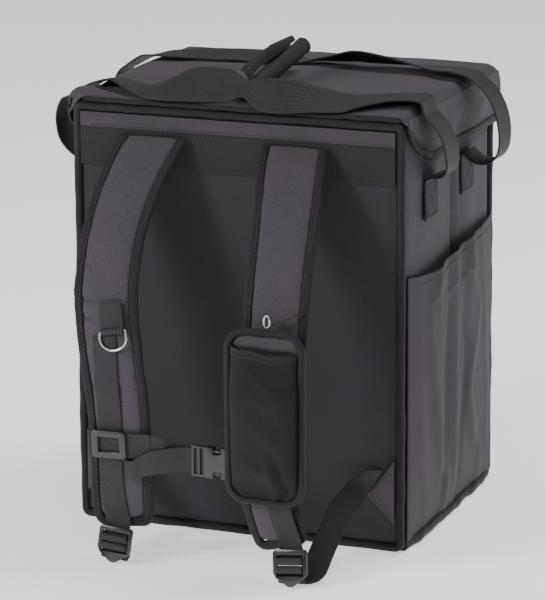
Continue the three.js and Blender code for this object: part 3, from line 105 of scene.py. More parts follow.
# Sections of the handles that lie otherwise than in the frame: shift, and change of the width
HANDLE_SHIFTS = {
    "handle_near": {
        36: (0, 0, 0, -1), 37: (0, 0, 0, -3), 38: (0, 0, 0, -5), 39: (0, 0, 0, -7), 40: (0, 0, 0, -9),
        41: (0, 0, 0, -5), 55: (7, -1.3, -5.7, 0), 56: (1.1, 0, -3.2, 0), 57: (0, 0, -4.8, 0),
        58: (0, 0, -3.7, 0),
    },
    "handle_far": {
        54: (0, 0, -1.8, 0), 55: (6, -0.4, -4.4, 0), 56: (1.2, 0, -1.5, 0), 57: (0.4, 0, -1.8, 0),
    },
}


def corners_of(node):
    """Corners of a frame node's mesh in millimetres, each with those that it shares a face with"""
    near = {}
    mesh = frame["nodes"][node].data
    for face in mesh.polygons:
        corners = [tuple(round(c / MM, 2) for c in mesh.vertices[v].co) for v in face.vertices]
        for corner in corners:
            near.setdefault(corner, set()).update(corners)
    return near


def layers_from(start, near):
    """The corners in layers, each next to the one before it"""
    layers = [set(start)]
    seen = set(start)
    while layers[-1]:
        layer = set().union(*(near[corner] for corner in layers[-1])) - seen
        seen |= layer
        layers.append(layer)
    return layers[:-1]


def strap_sections(node):
    """Sections of a flat strap of the frame, of four corners each, from one end to the other"""
    near = corners_of(node)
    tip = min(layers_from([min(near)], near)[-1])
    around = sorted(set().union(*(near[corner] for corner in near[tip])) - {tip})
    for others in combinations(around, 3):
        layers = layers_from([tip, *others], near)
        if all(len(layer) == 4 for layer in layers):
            return [[Vector(corner) for corner in sorted(layer)] for layer in layers]
    raise RuntimeError(f"{node} has no sections of four corners")


def strap_rows(node):
    """Centre, direction of the width, and width of each section of a strap, from its first end on"""
    first, across = (Vector(way) for way in STRAP_ENDS[node])
    sections = strap_sections(node)
    if sections[0][0].dot(first) < sections[-1][0].dot(first):
        sections.reverse()
    rows = []
    for number, corners in enumerate(sections):
        partner = min(corners[1:], key=lambda corner: (corner - corners[0]).length)
        centre = sum(corners, Vector()) / 4
        width = centre * 2 - corners[0] - partner
        if width.dot(across) < 0:
            width.negate()
        across = width
        *shift, wider = HANDLE_SHIFTS.get(node, {}).get(number, (0, 0, 0, 0))
        rows.append((
            *(round(c, 1) for c in centre + Vector(shift)),
            *(round(c, 2) for c in width.normalized()), round(width.length) + wider,
        ))
    return tuple(rows)


STRAP_ROUTES = {node: strap_rows(node) for node in STRAP_ENDS}
# The rows of the pads and the wrap weren't chosen here: a scratch script printed them from the
# sections that the part's source works out.
# Shoulder pads: centre, direction of the width, outward normal, half width and share of the thickness
PAD_ROUTES = {
    "left": (
        (-87.9, -147.5, 404.6, 1, 0, 0, 0, -0.8, 0.6, 35, 0.55),
        (-93, -155.7, 393.5, 0.99, -0.07, -0.09, 0, -0.79, 0.61, 35.1, 0.77),
        (-97.4, -168, 378.9, 0.99, -0.1, -0.11, 0, -0.75, 0.67, 34.8, 0.92),
        (-100.8, -183.9, 360.6, 0.99, -0.07, -0.08, 0, -0.77, 0.64, 34.3, 1),
        (-102.7, -200.6, 340, 1, -0.03, -0.04, 0, -0.8, 0.61, 33.8, 1),
        (-103.5, -214.8, 319.6, 1, -0.01, -0.01, 0, -0.85, 0.53, 33.4, 1),
        (-103.1, -227.2, 297.3, 1, 0.02, 0.04, 0, -0.89, 0.45, 33.2, 1),
        (-101.2, -239.7, 269.5, 1, 0.03, 0.09, 0, -0.93, 0.36, 33.2, 1),
        (-97.1, -247.5, 241.3, 0.98, 0.03, 0.17, 0, -0.98, 0.19, 33.3, 1),
        (-92.5, -251.7, 214.5, 0.99, 0.02, 0.15, 0, -0.99, 0.11, 33.2, 1),
        (-88.9, -253.4, 190.5, 0.99, 0.01, 0.14, 0, -1, 0.05, 32.9, 1),
        (-85.2, -254.6, 167.4, 0.99, 0, 0.15, 0, -1, 0.03, 32.9, 1),
        (-82.7, -254.7, 139.1, 1, 0, 0.04, 0, -1, -0.01, 32.8, 1),
        (-81.9, -253.8, 103.3, 1, 0, 0.01, 0, -1, -0.04, 32.2, 1),
        (-82.5, -251.9, 75.9, 1, 0.02, -0.04, 0.02, -1, -0.09, 31.8, 1.01),
        (-82.3, -250.1, 53.4, 1, 0.04, 0.06, 0.04, -1, -0.07, 31.1, 0.98),
        (-81, -248.6, 33.9, 1, 0.05, 0.07, 0.05, -1, -0.07, 30.1, 0.9),
    ),
    "right": (
        (61.9, -147.5, 404.6, 1, 0, 0, 0, -0.8, 0.6, 35, 0.55),
        (62.5, -155.7, 393.5, 1, 0.01, 0.02, 0, -0.79, 0.61, 35.1, 0.77),
        (64.6, -168, 378.9, 0.99, 0.08, 0.09, 0, -0.75, 0.67, 34.8, 0.92),
        (68.1, -183.9, 360.6, 0.99, 0.09, 0.1, 0, -0.77, 0.64, 34.3, 1),
        (71.7, -200.6, 340, 0.99, 0.08, 0.1, 0, -0.8, 0.61, 33.8, 1),
        (74.2, -214.8, 319.6, 1, 0.04, 0.06, 0, -0.85, 0.53, 33.4, 1),
        (76, -227.2, 297.3, 1, 0.03, 0.06, 0, -0.89, 0.45, 33.2, 1),
        (78, -239.7, 269.5, 1, 0.02, 0.05, 0, -0.93, 0.36, 33.2, 1),
        (78.8, -247.5, 241.3, 1, 0, 0.01, 0, -0.98, 0.19, 33.3, 1),
        (78.6, -251.7, 214.5, 1, 0, -0.03, 0, -0.99, 0.11, 33.2, 1),
        (77.5, -253.4, 190.5, 1, 0, -0.04, 0, -1, 0.05, 32.9, 1),
        (76.6, -254.6, 167.4, 1, 0, -0.04, 0, -1, 0.03, 32.8, 1),
        (75.3, -254.7, 139.1, 1, 0, -0.06, 0, -1, -0.01, 32.3, 1),
        (73.8, -253.8, 103.3, 1, 0, 0, 0, -1, -0.04, 31.6, 1),
        (75.7, -251.9, 76.2, 0.99, -0.05, 0.13, -0.04, -0.99, -0.09, 30.8, 1.01),
        (80.4, -250.2, 52.5, 0.96, -0.11, 0.27, -0.1, -0.99, -0.08, 30.1, 0.98),
        (87.4, -249.2, 30.5, 0.94, -0.18, 0.28, -0.16, -0.98, -0.1, 29.4, 0.9),
    ),
}
# Grip wrap: points round it, in a row for each place along it
WRAP_ROWS = (
    (
        (10.7, -127.2, 464.2), (13.7, -126.9, 465.9), (16.9, -127, 466.5), (19.3, -128, 464.8),
        (20.9, -130.3, 460.5), (19.8, -132.9, 455.5), (16.2, -134.2, 452), (11.5, -133.4, 451.2),
        (6.9, -131.6, 453.7), (3.7, -130.3, 455.8), (-0.3, -129, 458.3),
    ),
    (
        (10.5, -106.1, 467.7), (13.5, -105.9, 469.4), (16.8, -106, 469.8), (19.4, -106.7, 467.9),
        (21.1, -108.6, 463.6), (20, -110.6, 458.7), (16.4, -111.6, 455.2), (11.7, -110.9, 454.4),
        (7, -109.4, 456.9), (3.6, -108.5, 459.2), (-0.7, -107.5, 462.1),
    ),
    (
        (10.2, -85, 471.2), (13.3, -84.9, 472.8), (16.7, -84.9, 473), (19.5, -85.5, 471),
        (21.2, -86.8, 466.7), (20.2, -88.3, 461.9), (16.6, -89, 458.4), (11.9, -88.5, 457.6),
        (7.1, -87.3, 460), (3.5, -86.7, 462.7), (-1.1, -86, 465.9),
    ),
    (
        (10, -63.9, 474.7), (13.1, -63.9, 476.2), (16.6, -63.9, 476.3), (19.6, -64.2, 474),
        (21.4, -65.1, 469.8), (20.3, -66, 465), (16.7, -66.4, 461.6), (12, -66, 460.8), (7.3, -65.2, 463.2),
        (3.3, -64.8, 466.1), (-1.5, -64.5, 469.7),
    ),
    (
        (9.8, -42.8, 478.2), (12.9, -42.8, 479.6), (16.5, -42.9, 479.6), (19.7, -42.9, 477.1),
        (21.6, -43.3, 472.9), (20.5, -43.7, 468.2), (16.9, -43.8, 464.8), (12.2, -43.5, 464),
        (7.4, -43.1, 466.4), (3.2, -43, 469.6), (-1.9, -43, 473.4),
    ),
    (
        (9.5, -21.7, 481.7), (12.7, -21.8, 483.1), (16.4, -21.8, 482.9), (19.8, -21.7, 480.2),
        (21.7, -21.6, 476), (20.7, -21.5, 471.4), (17.1, -21.3, 468), (12.4, -21, 467.2), (7.6, -21, 469.6),
        (3.1, -21.2, 473), (-2.3, -21.4, 477.2),
    ),
    (
        (9.3, -0.6, 485.2), (12.5, -0.8, 486.5), (16.3, -0.8, 486.2), (20, -0.4, 483.3), (21.9, 0.2, 479.1),
        (20.8, 0.8, 474.5), (17.2, 1.3, 471.2), (12.5, 1.5, 470.4), (7.7, 1.2, 472.7), (3, 0.7, 476.5),
        (-2.7, 0.1, 481),
    ),
)


def smooth(value):
    value = min(1.0, max(0.0, value))
    return value * value * (3 - 2 * value)


def blend_of(a, b, share):
    return a + (b - a) * share


def look_up(rows, place, column, ease=float):
    """Value of a table's column at a place along its first column; ease bends the way between rows"""
    if place <= rows[0][0]:
        return rows[0][column]
    for before, after in zip(rows, rows[1:]):
        if place <= after[0]:
            share = ease((place - before[0]) / (after[0] - before[0]))
            return blend_of(before[column], after[column], share)
    return rows[-1][column]


def ripple(x, y, z, size, seed=0.0):
    """Smooth unevenness from about -1 to 1 that repeats at no place"""
    return noise.noise(Vector((x / size + seed, y / size - seed, z / size + 2 * seed)))


def sag(x, y, z, size, seed=0.0):
    """Smooth unevenness from 0 to about 1"""
    return min(1.0, max(0.0, 0.5 + 0.9 * ripple(x, y, z, size, seed)))


def smooth_rows(rows, spacing):
    """The rows with more of them between, on a smooth curve, each with its length along the curve"""
    marks = [0.0]
    for a, b in zip(rows, rows[1:]):
        marks.append(marks[-1] + max(1e-3, math.dist(a[:3], b[:3])))
    last = len(rows) - 1
    slopes = []
    for k in range(last + 1):
        a, b = max(k - 1, 0), min(k + 1, last)
        span = marks[b] - marks[a]
        slopes.append([(q - p) / span for p, q in zip(rows[a], rows[b])])
    result = []
    for k in range(last):
        step = marks[k + 1] - marks[k]
        count = max(1, math.ceil(step / spacing))
        for n in range(count):
            t = n / count
            t2, t3 = t * t, t * t * t
            row = [
                (2 * t3 - 3 * t2 + 1) * p + (t3 - 2 * t2 + t) * step * m
                + (3 * t2 - 2 * t3) * q + (t3 - t2) * step * w
                for p, q, m, w in zip(rows[k], rows[k + 1], slopes[k], slopes[k + 1])
            ]
            result.append((row, marks[k] + t * step))
    result.append((list(rows[-1]), marks[-1]))
    return result


def looks():
    return bpy.context.scene.backpack_looks


def wrinkle():
    return looks().wrinkle / MM


# Making, shaping and finishing meshes


def deselect():
    if bpy.context.object and bpy.context.object.mode != "OBJECT":
        bpy.ops.object.mode_set(mode="OBJECT")
    bpy.ops.object.select_all(action="DESELECT")


def pick(piece):
    deselect()
    piece.select_set(True)
    bpy.context.view_layer.objects.active = piece


def rename(piece, name):
    piece.name = name
    piece.data.name = name


def in_edit_mode(piece, *steps):
    """Runs mesh operators on the whole of a piece"""
    pick(piece)
    bpy.ops.object.mode_set(mode="EDIT")
    bpy.ops.mesh.select_all(action="SELECT")
    for step in steps:
        step()
    bpy.ops.object.mode_set(mode="OBJECT")


def apply_modifiers(piece):
    pick(piece)
    for modifier in list(piece.modifiers):
        bpy.ops.object.modifier_apply(modifier=modifier.name)


def laid_grid(name, columns, rows, place):
    """A flat grid laid in place: place(i, j) gives a point and its spot on the unrolled cloth"""
    deselect()
    bpy.ops.mesh.primitive_grid_add(x_subdivisions=columns, y_subdivisions=rows, size=1)
    piece = bpy.context.object
    rename(piece, name)
    mesh = piece.data
    unrolled = []
    for point in mesh.vertices:
        i = round((point.co.x + 0.5) * columns)
        j = round((point.co.y + 0.5) * rows)
        spot, flat = place(i, j)
        point.co = Vector(spot) * MM
        unrolled.append((flat[0] * MM, flat[1] * MM))
    layer = mesh.uv_layers.active
    for loop in mesh.loops:
        layer.data[loop.index].uv = unrolled[loop.vertex_index]
    return piece


def face_outward(piece, outward):
    """Turns an open sheet over if most of it looks away from outward, a direction or a function of a point"""
    mesh = piece.data
    mesh.update()
    look = 0.0
    for face in mesh.polygons:
        way = outward(face.center) if callable(outward) else Vector(outward)
        look += face.area * face.normal.dot(way)
    if look < 0:
        in_edit_mode(piece, bpy.ops.mesh.flip_normals)


def round_edges(piece, rounding, segments, angle):
    """Adds a bevel of a radius to the edges that are sharper than an angle"""
    edge = piece.modifiers.new("edge", "BEVEL")
    edge.width = rounding * MM
    edge.segments = segments
    edge.limit_method = "ANGLE"
    edge.angle_limit = math.radians(angle)


def thicken(piece, thickness, side=-1.0, rounding=0.0):
    """Gives a sheet its thickness, behind it at side -1 or to both sides at 0, and rounds its edges"""
    shell = piece.modifiers.new("thickness", "SOLIDIFY")
    shell.thickness = thickness * MM
    shell.offset = side
    if rounding:
        round_edges(piece, rounding, 2, 50)
    apply_modifiers(piece)
    return piece


def close_up(piece, caps=True):
    """Joins the seam of a rolled grid, closes its ends and turns its faces outwards"""
    steps = [lambda: bpy.ops.mesh.remove_doubles(threshold=1e-6)]
    if caps:
        steps.append(lambda: bpy.ops.mesh.select_all(action="SELECT"))
        steps.append(lambda: bpy.ops.mesh.fill_holes(sides=0))
    steps.append(lambda: bpy.ops.mesh.select_all(action="SELECT"))
    steps.append(lambda: bpy.ops.mesh.normals_make_consistent(inside=False))
    in_edit_mode(piece, *steps)
    return piece


def tube(name, stations, around, power=1.0, ring=False, uneven=0.0, grain=14.0):
    """A closed tube through stations of (centre, axis, second axis, half size, second half size, length)"""
    def place(i, j):
        centre, first, second, wide, high, length = stations[j]
        angle = 2 * math.pi * (i % around) / around
        c, s = math.cos(angle), math.sin(angle)
        x = math.copysign(abs(c) ** power, c)
        y = math.copysign(abs(s) ** power, s)
        swell = 1.0
        if uneven and not (ring and j in (0, len(stations) - 1)):
            fade = 1.0
            if ring:
                fade = smooth(min(j, len(stations) - 1 - j) / 8)
            swell += fade * uneven * ripple(length, 9 * c, 9 * s, grain, 3.7)
        spot = centre + first * (x * wide * swell) + second * (y * high * swell)
        return spot, (2 * math.pi * i / around * (wide + high) / 2, length)
    piece = laid_grid(name, around, len(stations) - 1, place)
    return close_up(piece, caps=not ring)


def stations_on(points, hint, wide, high, ring=False):
    """Stations of a tube on a line of points, its second axis towards hint, one direction or a list"""
    count = len(points)
    result = []
    length = 0.0
    for k, point in enumerate(points):
        if ring:
            before, after = points[(k - 1) % (count - 1)], points[(k + 1) % (count - 1)]
        else:
            before, after = points[max(k - 1, 0)], points[min(k + 1, count - 1)]
        run = (after - before).normalized()
        toward = Vector(hint[k]) if isinstance(hint, list) else Vector(hint)
        side = run.cross(toward).normalized()
        up = side.cross(run).normalized()
        if k:
            length += (point - points[k - 1]).length
        result.append((point, side, up, wide, high, length))
    return result


def strap(name, rows, columns=6, spacing=3.0, cup=0.0, uneven=0.0, thickness=WEB):
    """Webbing along the rows, cupped across its width and a little uneven"""
    path = smooth_rows(rows, spacing)
    last = len(path) - 1
    frames = []
    for k, (row, length) in enumerate(path):
        before, after = path[max(k - 1, 0)][0], path[min(k + 1, last)][0]
        run = Vector(after[:3]) - Vector(before[:3])
        across = Vector(row[3:6]).normalized()
        lift = run.cross(across).normalized()
        frames.append((Vector(row[:3]), across, lift, row[6], length))

    def place(i, j):
        centre, across, lift, width, length = frames[j]
        share = i / columns - 0.5
        rise = cup * (1 - 4 * share * share)
        if uneven:
            rise += uneven * ripple(length, share * 30, 0, 28, len(name))
        return centre + across * (share * width) + lift * rise, (share * width, length)

    piece = laid_grid(name, columns, last, place)
    return thicken(piece, thickness, 0.0, 0.35)


def moulded(name, node, rounding, segments=2):
    """A copy of a frame node's solid, joined up and with its edges rounded"""
    deselect()
    piece = bpy.data.objects.new(name, frame["nodes"][node].data.copy())
    bpy.context.scene.collection.objects.link(piece)
    rename(piece, name)
    in_edit_mode(
        piece,
        lambda: bpy.ops.mesh.remove_doubles(threshold=1e-6),
        lambda: bpy.ops.mesh.dissolve_limited(angle_limit=math.radians(1)),
    )
    round_edges(piece, rounding, segments, 30)
    apply_modifiers(piece)
    return piece


def slump(piece):
    """Lets the soft body out at its left front edge"""
    for point in piece.data.vertices:
        x, y = point.co.x / MM, point.co.y / MM
        left = smooth((SLUMP_X - x) / SLUMP_WIDE) * smooth((SLUMP_Y - y) / SLUMP_DEEP)
        point.co.x -= SLUMP * left * MM


def settle(piece, finish, slot, *nodes, body="backpack", angle=45):
    """Shades a finished piece, gives it its material and lets it stand for its frame nodes"""
    pick(piece)
    bpy.ops.object.shade_smooth_by_angle(angle=math.radians(angle))
    piece.data.materials.clear()
    piece.data.materials.append(finish)
    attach(piece, body)
    if nodes:
        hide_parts(*nodes)
    return piece


def joined(name, pieces):
    """Several pieces made one"""
    deselect()
    for piece in pieces:
        piece.select_set(True)
    bpy.context.view_layer.objects.active = pieces[0]
    if len(pieces) > 1:
        bpy.ops.object.join()
    piece = bpy.context.object
    rename(piece, name)
    return piece


def stitches(name, lines, body="backpack"):
    """Rows of thread: lines are lists of (point, outward normal), each with a stitch at an even pitch"""
    length = looks().stitch_length / MM
    pitch = 1.5 * length
    deselect()
    bpy.ops.mesh.primitive_cube_add(size=1)
    first = bpy.context.object
    in_edit_mode(
        first,
        lambda: bpy.ops.transform.resize(value=(length * MM, 0.0007, 0.0006)),
        lambda: bpy.ops.mesh.bevel(offset=0.00018, segments=1),
    )
    made = []
    for line in lines:
        travelled = pitch / 2
        for (a, up_a), (b, up_b) in zip(line, line[1:]):
            a, b = Vector(a), Vector(b)
            step = (b - a).length
            if step < 1e-6:
                continue
            while travelled < step:
                share = travelled / step
                run = (b - a) / step
                up = Vector(up_a).lerp(Vector(up_b), share)
                up = (up - run * up.dot(run)).normalized()
                side = up.cross(run)
                place = Matrix((run, side, up)).transposed().to_4x4()
                place.translation = (a.lerp(b, share)) * MM
                copy = first.copy()
                copy.data = first.data.copy()
                copy.data.transform(place)
                bpy.context.scene.collection.objects.link(copy)
                made.append(copy)
                travelled += pitch
            travelled -= step
    bpy.data.objects.remove(first)
    piece = joined(name, made)
    return settle(piece, thread_finish(), "binding", body=body)


# Materials


def paint(name):
    """A named material and its shader, or the one made before"""
    made = bpy.data.materials.get(name)
    if made:
        return made, None, None
    made = bpy.data.materials.new(name)
    made.use_nodes = True
    return made, made.node_tree, made.node_tree.nodes["Principled BSDF"]


def maths(tree, operation, *values):
    node = tree.nodes.new("ShaderNodeMath")
    node.operation = operation
    for socket, value in zip(node.inputs, values):
        if isinstance(value, bpy.types.NodeSocket):
            tree.links.new(value, socket)
        else:
            socket.default_value = value
    return node.outputs[0]


def wave(tree, place, pitch):
    """Sine of a place in metres, from 0 to 1, with a pitch in metres"""
    turn = maths(tree, "MULTIPLY", place, 2 * math.pi / pitch)
    return maths(tree, "MULTIPLY_ADD", maths(tree, "SINE", turn), 0.5, 0.5)


def cloud(tree, scale, detail=2.0):
    """Noise on the piece's own place, from about 0.3 to 0.7"""
    place = tree.nodes.new("ShaderNodeTexCoord")
    node = tree.nodes.new("ShaderNodeTexNoise")
    node.inputs["Scale"].default_value = scale
    node.inputs["Detail"].default_value = detail
    tree.links.new(place.outputs["Object"], node.inputs["Vector"])
    return node.outputs["Fac"]


def unrolled_place(tree):
    """Places across and along the unrolled cloth, in metres"""
    source = tree.nodes.new("ShaderNodeUVMap")
    parts = tree.nodes.new("ShaderNodeSeparateXYZ")
    tree.links.new(source.outputs["UV"], parts.inputs[0])
    return parts.outputs["X"], parts.outputs["Y"]


def tint(tree, share, dark, light):
    """Mix of two colours; each of them and the share is a value or a socket"""
    node = tree.nodes.new("ShaderNodeMix")
    node.data_type = "RGBA"
    for socket, value in zip((node.inputs[0], node.inputs[6], node.inputs[7]), (share, dark, light)):
        if isinstance(value, bpy.types.NodeSocket):
            tree.links.new(value, socket)
        else:
            socket.default_value = value if isinstance(value, float) else (*value, 1.0)
    return node.outputs[2]


def relief(tree, shader, height, strength, depth):
    node = tree.nodes.new("ShaderNodeBump")
    node.inputs["Strength"].default_value = strength
    node.inputs["Distance"].default_value = depth
    tree.links.new(height, node.inputs["Height"])
    tree.links.new(node.outputs["Normal"], shader.inputs["Normal"])


def scaled(colour, share):
    return tuple(min(1.0, c * share) for c in colour)


def cloth_finish(name, colour, twill=False):
    """Polyester cloth: a plain or twill weave, uneven dye, rubbed-up threads and a soft sheen"""
    made, tree, shader = paint(name)
    if tree is None:
        return made
    across, along = unrolled_place(tree)
    pitch = looks().weave_pitch
    if twill:
        slant = maths(tree, "ADD", across, along)
        weave = wave(tree, slant, pitch * 1.6)
        weft = wave(tree, maths(tree, "SUBTRACT", across, along), pitch * 0.8)
        weave = maths(tree, "MULTIPLY_ADD", weft, 0.3, maths(tree, "MULTIPLY", weave, 0.7))
    else:
        weave = maths(tree, "MULTIPLY", wave(tree, across, pitch), wave(tree, along, pitch))
    grain = cloud(tree, 480.0, 3.0)
    patches = cloud(tree, 9.0, 4.0)
    fine = maths(tree, "MULTIPLY_ADD", grain, 1.7, maths(tree, "MULTIPLY_ADD", weave, 0.5, -0.6))
    thread = tint(tree, fine, scaled(colour, 0.5), scaled(colour, 1.5))
    warm = scaled((colour[0] * 1.1, colour[1] * 0.97, colour[2] * 0.98), 1.12)
    cool = scaled((colour[0] * 0.93, colour[1] * 0.97, colour[2] * 1.04), 0.9)
    dye = tint(tree, maths(tree, "MULTIPLY_ADD", patches, 2.2, -0.6), cool, warm)
    tree.links.new(tint(tree, 0.5, thread, dye), shader.inputs["Base Color"])
    rough = maths(tree, "MULTIPLY_ADD", grain, 0.25, 0.62)
    tree.links.new(rough, shader.inputs["Roughness"])
    shader.inputs["Specular IOR Level"].default_value = 0.35
    shader.inputs["Sheen Weight"].default_value = 0.04
    shader.inputs["Sheen Roughness"].default_value = 0.45
    shader.inputs["Sheen Tint"].default_value = (0.86, 0.78, 0.88, 1.0)
    height = maths(tree, "MULTIPLY_ADD", grain, 0.5, weave)
    relief(tree, shader, height, 0.5, 0.00035)
    return made


def webbing_finish(name, colour, pitch_share=1.0):
    """Woven webbing: ribs across its run, ridges along it and patches of wear"""
    made, tree, shader = paint(name)
    if tree is None:
        return made
    across, along = unrolled_place(tree)
    pitch = looks().rib_pitch * pitch_share
    shifted = maths(tree, "MULTIPLY_ADD", wave(tree, across, pitch * 2.2), pitch * 0.5, along)
    ribs = wave(tree, shifted, pitch)
    ridges = wave(tree, across, pitch * 1.1)
    grain = cloud(tree, 700.0, 3.0)
    wear = cloud(tree, 25.0, 3.0)
    height = maths(tree, "MULTIPLY_ADD", ridges, 0.35, ribs)
    share = maths(tree, "MULTIPLY_ADD", grain, 0.7, maths(tree, "MULTIPLY_ADD", height, 0.42, -0.3))
    thread = tint(tree, share, scaled(colour, 0.5), scaled(colour, 1.45))
    worn = maths(tree, "MULTIPLY_ADD", wear, 1.6, -0.45)
    rubbed = tint(tree, worn, scaled(colour, 0.86), scaled(colour, 1.2))
    tree.links.new(tint(tree, 0.4, thread, rubbed), shader.inputs["Base Color"])
    tree.links.new(maths(tree, "MULTIPLY_ADD", grain, 0.3, 0.5), shader.inputs["Roughness"])
    shader.inputs["Specular IOR Level"].default_value = 0.4
    shader.inputs["Sheen Weight"].default_value = 0.03
    shader.inputs["Sheen Roughness"].default_value = 0.5
    relief(tree, shader, height, 0.6, 0.0006)
    return made


def mesh_finish():
    """Knitted mesh: slanting rows of small holes over darker padding"""
    colour = looks().mesh_colour
    made, tree, shader = paint("knitted mesh")
    if tree is None:
        return made
    across, along = unrolled_place(tree)
    pitch = looks().hole_pitch
    slant = wave(tree, maths(tree, "ADD", across, along), pitch)
    counter = wave(tree, maths(tree, "MULTIPLY_ADD", across, -1.3, along), pitch * 0.9)
    holes = maths(tree, "MULTIPLY", slant, counter)
    grain = cloud(tree, 800.0, 2.0)
    share = maths(tree, "MULTIPLY_ADD", grain, 0.5, maths(tree, "MULTIPLY_ADD", holes, 1.1, -0.2))
    tree.links.new(tint(tree, share, scaled(colour, 0.3), scaled(colour, 2.0)), shader.inputs["Base Color"])
    tree.links.new(maths(tree, "MULTIPLY_ADD", holes, -0.25, 0.85), shader.inputs["Roughness"])
    shader.inputs["Specular IOR Level"].default_value = 0.3
    relief(tree, shader, holes, 0.8, 0.0006)
    return made


def plastic_finish():
    """Moulded black plastic: satin, with a fine spark-eroded grain and dull handling marks"""
    colour = looks().plastic_colour
    made, tree, shader = paint("moulded plastic")
    if tree is None:
        return made
    grain = cloud(tree, 1400.0, 2.0)
    marks = cloud(tree, 60.0, 4.0)
    tree.links.new(
        tint(tree, marks, scaled(colour, 0.8), scaled(colour, 1.35)), shader.inputs["Base Color"])
    tree.links.new(maths(tree, "MULTIPLY_ADD", marks, 0.3, 0.16), shader.inputs["Roughness"])
    shader.inputs["Specular IOR Level"].default_value = 0.6
    shader.inputs["Coat Weight"].default_value = 0.25
    shader.inputs["Coat Roughness"].default_value = 0.2
    relief(tree, shader, grain, 0.15, 0.0001)
    return made


def metal_finish():
    """Plated steel wire: bright, with a few dull spots"""
    colour = looks().metal_colour
    made, tree, shader = paint("plated steel")
    if tree is None:
        return made
    spots = cloud(tree, 220.0, 3.0)
    tree.links.new(tint(tree, spots, scaled(colour, 0.78), scaled(colour, 1.1)), shader.inputs["Base Color"])
    tree.links.new(maths(tree, "MULTIPLY_ADD", spots, 0.25, 0.1), shader.inputs["Roughness"])
    shader.inputs["Metallic"].default_value = 1.0
    relief(tree, shader, spots, 0.1, 0.0001)
    return made


def thread_finish():
    """Sewing thread: twisted, a shade lighter than the tape it holds"""
    colour = looks().thread_colour
    made, tree, shader = paint("sewing thread")
    if tree is None:
        return made
    twist = cloud(tree, 1500.0, 1.0)
    tree.links.new(tint(tree, twist, scaled(colour, 0.6), scaled(colour, 1.4)), shader.inputs["Base Color"])
    shader.inputs["Roughness"].default_value = 0.6
    relief(tree, shader, twist, 0.3, 0.0002)
    return made


def body_cloth():
    return cloth_finish("body cloth", looks().cloth_colour)


# Pocket cloth: the body cloth darkened by about a quarter as painted shade, worn by the side pocket and the
# top strip
def pocket_cloth_painted_shade():
    return cloth_finish("pocket cloth with painted shade", scaled(looks().cloth_colour, 0.76))


def back_cloth():
    return cloth_finish("strap side cloth", looks().back_colour, twill=True)


def webbing():
    return webbing_finish("strap webbing", looks().webbing_colour)


# Band webbing: the strap webbing darkened to less than half, painted shade of the band between the pads, also
# worn by the grip wrap
def band_webbing_painted_shade():
    return webbing_finish("band webbing with painted shade", scaled(looks().webbing_colour, 0.42), 1.15)


# Handle webbing: the strap webbing a little darker, painted shade of the handles
def handle_webbing_painted_shade():
    return webbing_finish("handle webbing with painted shade", scaled(looks().webbing_colour, 0.78), 1.15)


def tape():
    return webbing_finish("binding tape", looks().binding_colour, 0.8)


# Sizes and colours that a user would change


def colour_of(name, description, default):
    return FloatVectorProperty(
        name=name, description=description, default=default, size=3, min=0.0, max=1.0, subtype="COLOR")


class BackpackLooks(bpy.types.PropertyGroup):
    """Colours and fine sizes of the backpack's finishes"""

    cloth_colour: colour_of("Cloth", "Polyester of the sides, lid, pads and pocket", (0.072, 0.063, 0.076))
    back_colour: colour_of(
        "Strap side cloth", "Twill of the panel behind the shoulder straps", (0.03, 0.026, 0.032))
    webbing_colour: colour_of("Webbing", "Handles, band and strap webbing", (0.032, 0.031, 0.036))
    binding_colour: colour_of("Binding", "Tape round the panels, pads, lid and pouch", (0.01, 0.0096, 0.0115))
    mesh_colour: colour_of("Mesh", "Knitted mesh of the pouch", (0.021, 0.02, 0.025))
    plastic_colour: colour_of("Plastic", "Locks, slider and buckle", (0.02, 0.02, 0.023))
    metal_colour: colour_of("Metal", "D-ring and pouch hook", (0.72, 0.72, 0.74))
    thread_colour: colour_of("Thread", "Sewing thread", (0.046, 0.044, 0.05))
    weave_pitch: FloatProperty(
        name="Weave pitch", description="Distance between threads of the cloth",
        default=0.0018, min=0.0004, max=0.005, precision=4, unit="LENGTH")
    rib_pitch: FloatProperty(
        name="Rib pitch", description="Distance between ribs of the webbing",
        default=0.0019, min=0.0006, max=0.006, precision=4, unit="LENGTH")
    hole_pitch: FloatProperty(
        name="Hole pitch", description="Distance between rows of holes in the mesh",
        default=0.0026, min=0.001, max=0.008, precision=4, unit="LENGTH")
    stitch_length: FloatProperty(
        name="Stitch length", description="Length of one stitch of the seams",
        default=0.003, min=0.001, max=0.008, precision=4, unit="LENGTH")
    wrinkle: FloatProperty(
        name="Wrinkle depth", description="Depth of the soft hollows in the cloth",
        default=0.0022, min=0.0, max=0.008, precision=4, unit="LENGTH")


class BackpackStage(bpy.types.PropertyGroup):
    """Camera, floor and studio light"""

    lens: FloatProperty(
        name="Lens", description="Focal length of the camera on a 36 mm film",
        default=201.75, min=20.0, max=400.0, unit="CAMERA")
    floor_size: FloatProperty(
        name="Floor", description="Width of the pale floor",
        default=26.0, min=4.0, max=60.0, unit="LENGTH")
    key_power: FloatProperty(
        name="Key light", description="Power of the large light over the left shoulder, in watts",
        default=74.0, min=0.0, max=1000.0)
    side_power: FloatProperty(
        name="Side light", description="Power of the light on the pocket side, in watts",
        default=3.0, min=0.0, max=1000.0)
    top_power: FloatProperty(
        name="Top light", description="Power of the light above the far right corner, in watts",
        default=34.0, min=0.0, max=1000.0)
    sky: FloatProperty(
        name="Room light", description="Strength of the even light of the white room",
        default=0.2, min=0.0, max=4.0)
    floor_glow: FloatProperty(
        name="Floor glow", description="Light of the white floor itself, as on a lit table",
        default=0.8, min=0.0, max=4.0)


# Turn, rise and roll of the camera in degrees, and its place in metres
CAMERA_ANGLES = (21.462, 14.485, -0.39)
CAMERA_PLACE = (1.2145, -3.1421, 1.0812)
